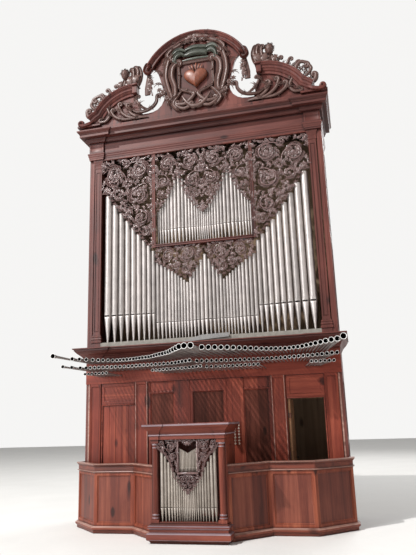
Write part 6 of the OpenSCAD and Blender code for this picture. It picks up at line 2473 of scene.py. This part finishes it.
@dataclass
class LowerFront(Assembly):
    """The walls, pilasters and doorways under the trumpets."""

    keydesk: float = 0.345
    keydesk_top: float = 1.7
    panel: Flat = (0.655, 1.125)
    strip: Flat = (1.168, 1.418)
    pin: Flat = (1.434, 0.07)
    hinges: tuple[float, ...] = (0.46, 1.1695, 1.879)
    rail: float = 2.335
    sunk: tuple[Flat, ...] = ((0.001, 0.005), (0.006, 0.0), (0.001, 0.007), (0.012, 0.006), (0.001, 0.004))

    def wall(self) -> Piece:
        """One wall beside the keydesk, with its sunk panel and its inner pilaster, on the right."""
        f, b, low, top = PLAN.wall_front, PLAN.wall_back, PLAN.floor, PLAN.lower_top
        s0, s1 = self.strip
        board = Joiner.framed("wall", (self.keydesk, f, low), (PLAN.door_in, b, top),
            [(*self.panel, low + 0.11, self.rail), (self.panel[0], s0 - 0.03, self.rail + 0.012,
            top - 0.004)], self.sunk, finishes=(Finishes.LOWER, Finishes.PANEL))
        Joiner.finish_bands(board, (self.rail + 0.006, top), index=0)
        parts = [
            board,
            Joiner.framed("strip", (s0, f - 0.024, low + 0.02), (s1, f + 0.003, top),
                [(s0 + 0.034, s1 - 0.034, low + 0.13, top - 0.04)],
                ((0.001, 0.004), (0.004, 0.0), (0.007, 0.006), (0.003, 0.0)),
                finishes=(Finishes.LOWER, Finishes.LOWER)),
            *(self.bead(x, f - 0.02, low + 0.02, top) for x in (s0 + 0.012, s1 - 0.012)),
        ]
        return Bench.join("wall", parts)

    def pilasters(self) -> None:
        """The outer pilasters with beaded edges."""
        f, b, low, top = PLAN.wall_front, PLAN.wall_back, PLAN.floor, PLAN.lower_top
        x0, x1 = PLAN.break_x, PLAN.half
        parts = [
            Joiner.framed("shaft", (x0, 0, low), (x1, b, top), [(x0 + 0.036, x1 - 0.036, low + 0.12,
                top - 0.05)], ((0.001, 0.004), (0.004, 0.0), (0.008, 0.007), (0.003, 0.0)),
                finishes=(Finishes.LOWER, Finishes.LOWER)),
            Bench.block("margin", (x1, f, low), (PLAN.body - 0.045, b, top), 0.002),
            self.bead(x0 + 0.014, -0.001, low, top),
            self.bead(x1 - 0.014, -0.001, low, top),
        ]
        self.dress(Bench.both(Bench.join("low_pilasters", parts)), "case_wood", Finishes.LOWER,
            Finishes.LOWER, Finishes.PAINTED_HIGHLIGHT, nodes=["lower_pilasters"])

    def bead(self, x: float, y: float, low: float, high: float) -> Piece:
        """One beaded edge, painted pale as a highlight."""
        obj = Bench.turn_bead(x, y, low, high)
        obj.data.materials.append(Finishes.PAINTED_HIGHLIGHT.material())
        return obj

    def hinge(self, z: float, height: float, plate: Sequence[float]) -> list[Piece]:
        """Half a hinge: its barrel and its plate.

        Args:
            z: The barrel's foot.
            height: The barrel's height.
            plate: The plate's x0, x1, y0 and y1.

        Returns:
            The parts.
        """
        rings = [(0, 0.008), (0.001, 0.009), (height - 0.001, 0.009), (height, 0.008)]
        x0, x1, y0, y1 = plate
        return [
            Bench.move(Bench.turn("barrel", rings, 20), Matrix.Translation((*self.pin, z))),
            Bench.block("plate", (x0, y0, z), (x1, y1, z + height), 0.001),
        ]

    def walls(self) -> None:
        """Both walls; the right one carries the fixed halves of the hinges."""
        right = self.wall()
        left = Bench.mirror(right)
        left.name = "left_wall"
        self.dress(left, "case_wood", Finishes.LOWER, Finishes.PANEL, Finishes.PAINTED_HIGHLIGHT,
            nodes=["front_left_wall"])
        self.dress(right, "case_wood", Finishes.LOWER, Finishes.PANEL, Finishes.PAINTED_HIGHLIGHT)
        right.name = "right_wall"
        b = PLAN.wall_back
        iron = []
        for z in self.hinges:
            iron += self.hinge(z - 0.06, 0.059, (self.pin[0] - 0.05, self.pin[0] - 0.006, b, b + 0.004))
        self.dress(Bench.join("fixed_hinges", iron), "case_wood", Finishes.IRON, nodes=["front_right_wall"])

    def doorways(self) -> None:
        """The boards over both doorways, their jambs and the boarded door on the left."""
        f, b, low, top = PLAN.wall_front, PLAN.wall_back, PLAN.floor, PLAN.lower_top
        x0, x1 = PLAN.door_in, PLAN.break_x
        head = [
            Joiner.framed("head", (x0 + 0.001, f, PLAN.door_top), (x1 - 0.001, b, top),
                [(x0 + 0.06, x1 - 0.06, PLAN.door_top + 0.07, top - 0.06)],
                ((0.001, 0.004), (0.006, 0.003), (0.001, 0.002))),
            Bench.block("jamb", (PLAN.door_out, f, low), (x1 - 0.001, b, PLAN.door_top - 0.001), 0.003),
            Bench.block("lintel", (x0 + 0.004, f - 0.008, PLAN.door_top - 0.004),
                (PLAN.door_out + 0.02, f + 0.004, PLAN.door_top + 0.022), 0.003, 2),
            Bench.block("post", (PLAN.door_out, f - 0.008, low), (PLAN.door_out + 0.018, f + 0.004,
                PLAN.door_top), 0.003, 2),
        ]
        self.dress(Bench.both(Bench.join("doorway_boards", head)), "case_wood", Finishes.LOWER_LEVEL,
            nodes=["door_heads"])
        boards = []
        width = (PLAN.door_out - PLAN.door_in - 0.004) / 5
        for i in range(5):
            start = -PLAN.door_out + 0.002 + i * width
            boards.append(Bench.block("board", (start + 0.001, f + 0.014, low + 0.004),
                (start + width - 0.001, b, PLAN.door_top - 0.004), 0.0025))
        self.dress(Bench.join("boarded_door", boards), "case_wood", Finishes.LOWER, nodes=["closed_door"])

    def head_board(self) -> None:
        """The board over the keydesk with its sunk field."""
        k = self.keydesk
        board = Joiner.framed("board_over_keys", (-k + 0.001, PLAN.wall_front, self.keydesk_top),
            (k - 0.001, PLAN.wall_back, PLAN.lower_top), [(-k + 0.05, k - 0.05, self.keydesk_top + 0.055,
            self.rail)], self.sunk, finishes=(Finishes.LOWER, Finishes.PANEL))
        self.dress(board, "case_wood", Finishes.LOWER, Finishes.PANEL, nodes=["keydesk_head"])
        self.paint("trumpet_board", Finishes.LOWER_LEVEL)

    def build(self) -> None:
        """Build the lower front."""
        self.pilasters()
        self.walls()
        self.doorways()
        self.head_board()


@dataclass
class Shell(Assembly):
    """The case's framed sides and back."""

    side_fields: tuple[Flat, ...] = ((0.32, 1.32), (1.44, 2.42), (3.36, 5.1), (5.22, 7.06))

    def build(self) -> None:
        """Build the sides and the back and darken the roof."""
        low, top = PLAN.floor, PLAN.frieze_top
        fields = [(x0, x1, z0, z1) for z0, z1 in self.side_fields for x0, x1 in ((0.14, 0.57), (0.66, 1.06))]
        side = Joiner.framed("side_right", (PLAN.wall_front, -PLAN.body, low),
            (PLAN.depth, -PLAN.body + 0.045, top), fields, ((0.001, 0.003), (0.008, 0.006), (0.004, 0.0)))
        side = Bench.move(side, QUARTER_TURN)
        left = Bench.mirror(side)
        left.name = "side_left"
        self.dress(side, "case_wood", Finishes.CASE, nodes=["case_side_right"])
        self.dress(left, "case_wood", Finishes.CASE, nodes=["case_side_left"])
        reach = PLAN.body - 0.046
        xs = [-reach + 0.1 + i * (2 * reach - 0.1) / 5 for i in range(6)]
        fields = [(a, b - 0.1, z0, z1) for a, b in zip(xs, xs[1:]) for z0, z1 in self.side_fields]
        back = Joiner.framed("back_boards", (-reach, -PLAN.depth, low), (reach, -PLAN.depth + 0.03, top),
            fields, ((0.001, 0.003), (0.006, 0.005), (0.003, 0.0)))
        back = Bench.move(back, HALF_TURN)
        self.dress(back, "inside_wood", Finishes.BACK, nodes=["case_back"])
        self.paint("case_roof", Finishes.INSIDE)


@dataclass
class Door(LowerFront):
    """The small door's leaf, which stands open at a right angle into the case."""

    body: str = "door"
    gap: float = 0.006
    thick: float = 0.035

    def build(self) -> None:
        """Build the leaf with its halves of the hinges."""
        x0 = self.pin[0] + self.gap
        y0, y1 = self.pin[1] + 0.01, self.pin[1] + 0.64
        z0, z1 = PLAN.floor + self.gap, PLAN.door_top - self.gap
        fields = [(y0 + 0.09, y1 - 0.09, z0 + 0.09, (z0 + z1) / 2 - 0.045),
            (y0 + 0.09, y1 - 0.09, (z0 + z1) / 2 + 0.045, z1 - 0.09)]
        leaf = Joiner.framed("leaf", (y0, -x0 - self.thick, z0), (y1, -x0, z1), fields,
            ((0.001, 0.003), (0.008, 0.005), (0.003, 0.0)), bevel=0.004)
        leaf = Bench.move(leaf, QUARTER_TURN)
        self.dress(leaf, "door_wood", Finishes.DOOR, nodes=["door_leaf"])
        iron = []
        for z in self.hinges:
            iron += self.hinge(z + 0.001, 0.059, (x0 - 0.004, x0, self.pin[1] + 0.007, y0 + 0.07))
        latch = [(0, 0.004), (0.02, 0.004), (0.022, 0.011), (0.03, 0.014), (0.038, 0.011), (0.041, 0.004)]
        place = Matrix.Translation((x0 + self.thick - 0.001, y1 - 0.045, 1.1)) @ Matrix.Rotation(
            radians(90), 4, "Y")
        iron.append(Bench.move(Bench.turn("knob", latch, 16), place))
        self.dress(Bench.join("leaf_iron", iron), "door_wood", Finishes.IRON)
        clasp = Bench.block("clasp", (x0 - 0.003, y0 - 0.007, 1.8),
            (x0 + self.thick + 0.012, y0 + 0.05, 1.885), 0.004, 2)
        self.dress(clasp, "door_wood", Finishes.HEART)


@dataclass
class Keydesk(Assembly):
    """The two keyboards, the stop knobs and the music desk in their recess."""

    half: float = 0.345
    key_z: float = 0.9
    reach: float = 0.31
    naturals: int = 31
    key_long: float = 0.118
    step: float = 0.062
    pitch: float = 0.052
    knobs: int = 8
    knob_x: float = 0.486

    def keyboards(self) -> None:
        """Two rows of pale naturals with dark sharps."""
        width = 2 * self.reach / self.naturals
        white = Bench.block("natural", (0, 0, 0), (width - 0.0012, self.key_long, 0.02), 0.0015)
        black = Bench.block("sharp", (0, 0, 0), (0.0105, 0.078, 0.011), 0.002)
        pale, dark = [], []
        for i in range(2):
            y = PLAN.wall_front - 0.04 + i * 0.12
            z = self.key_z + 0.002 + i * self.step
            for k in range(self.naturals):
                x = -self.reach + k * width
                pale.append(Bench.copy(white, lambda p, x=x, y=y, z=z: p + (x, y, z)))
                if k % 7 not in (2, 6) and k < self.naturals - 1:
                    dark.append(Bench.copy(black, lambda p, x=x, y=y, z=z,
                        w=width: p + (x + w - 0.0058, y + 0.04, z + 0.0185)))
        pale.append(Bench.block("rail", (-self.reach, PLAN.wall_front + 0.09, self.key_z + 0.001),
            (self.reach, PLAN.wall_front + 0.2, self.key_z + self.step), 0.002))
        Bench.scrap(white, black)
        self.dress(Bench.join("naturals", pale), "ivory", Finishes.IVORY, nodes=["manuals"])
        self.dress(Bench.join("sharps", dark), "inside_wood", Finishes.IRON)

    def stops(self) -> None:
        """Two columns of turned knobs on each side, a red spot on each face."""
        shank = self.pitch * 0.86
        rings = [(0, 0.0062), (shank, 0.0062), (shank + 0.0005, 0.011), (shank + 0.002, 0.0146),
            (shank + 0.005, 0.015), (shank + 0.0072, 0.0135), (shank + 0.0086, 0.008),
            (shank + 0.0088, 0.0004)]
        knob = Bench.turn("knob", rings, 14)
        for finish in (Finishes.IVORY, Finishes.HEART):
            knob.data.materials.append(finish.material())
        for face in knob.data.polygons:
            face.material_index = 1 if face.center.z > shank + 0.0086 else 0
        low = self.key_z + self.pitch * 9.4
        parts = []
        for s in (-1, 1):
            for c in (0, 1):
                for i in range(self.knobs):
                    x, z = s * (self.knob_x + c * self.pitch * 1.35), low + i * self.pitch
                    parts.append(Bench.copy(knob, lambda p, x=x, z=z: np.column_stack(
                        (x + p[:, 0], PLAN.wall_front - p[:, 2], z + p[:, 1]))))
        Bench.scrap(knob)
        self.dress(Bench.join("stops", parts), "ivory", Finishes.IVORY, Finishes.HEART, nodes=["stop_knobs"])

    def build(self) -> None:
        """Build the keydesk."""
        self.keyboards()
        self.stops()
        self.paint("key_desk", Finishes.INSIDE)


def main() -> None:
    """Build the studio and every sub-assembly in order."""
    logging.basicConfig(level=logging.INFO, format="%(message)s")
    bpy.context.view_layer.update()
    carver = Carver()
    for part in (Studio(), Gallery(), PipeFront(), Trumpets(), Casework(), Shell(), LowerFront(), Door(),
            Keydesk(), Shades(carver), Pediment(carver), ChairCase(carver)):
        part.build()
        LOG.info("built %s", type(part).__name__)
    carver.clear_templates()


if __name__ == "__main__":
    main()
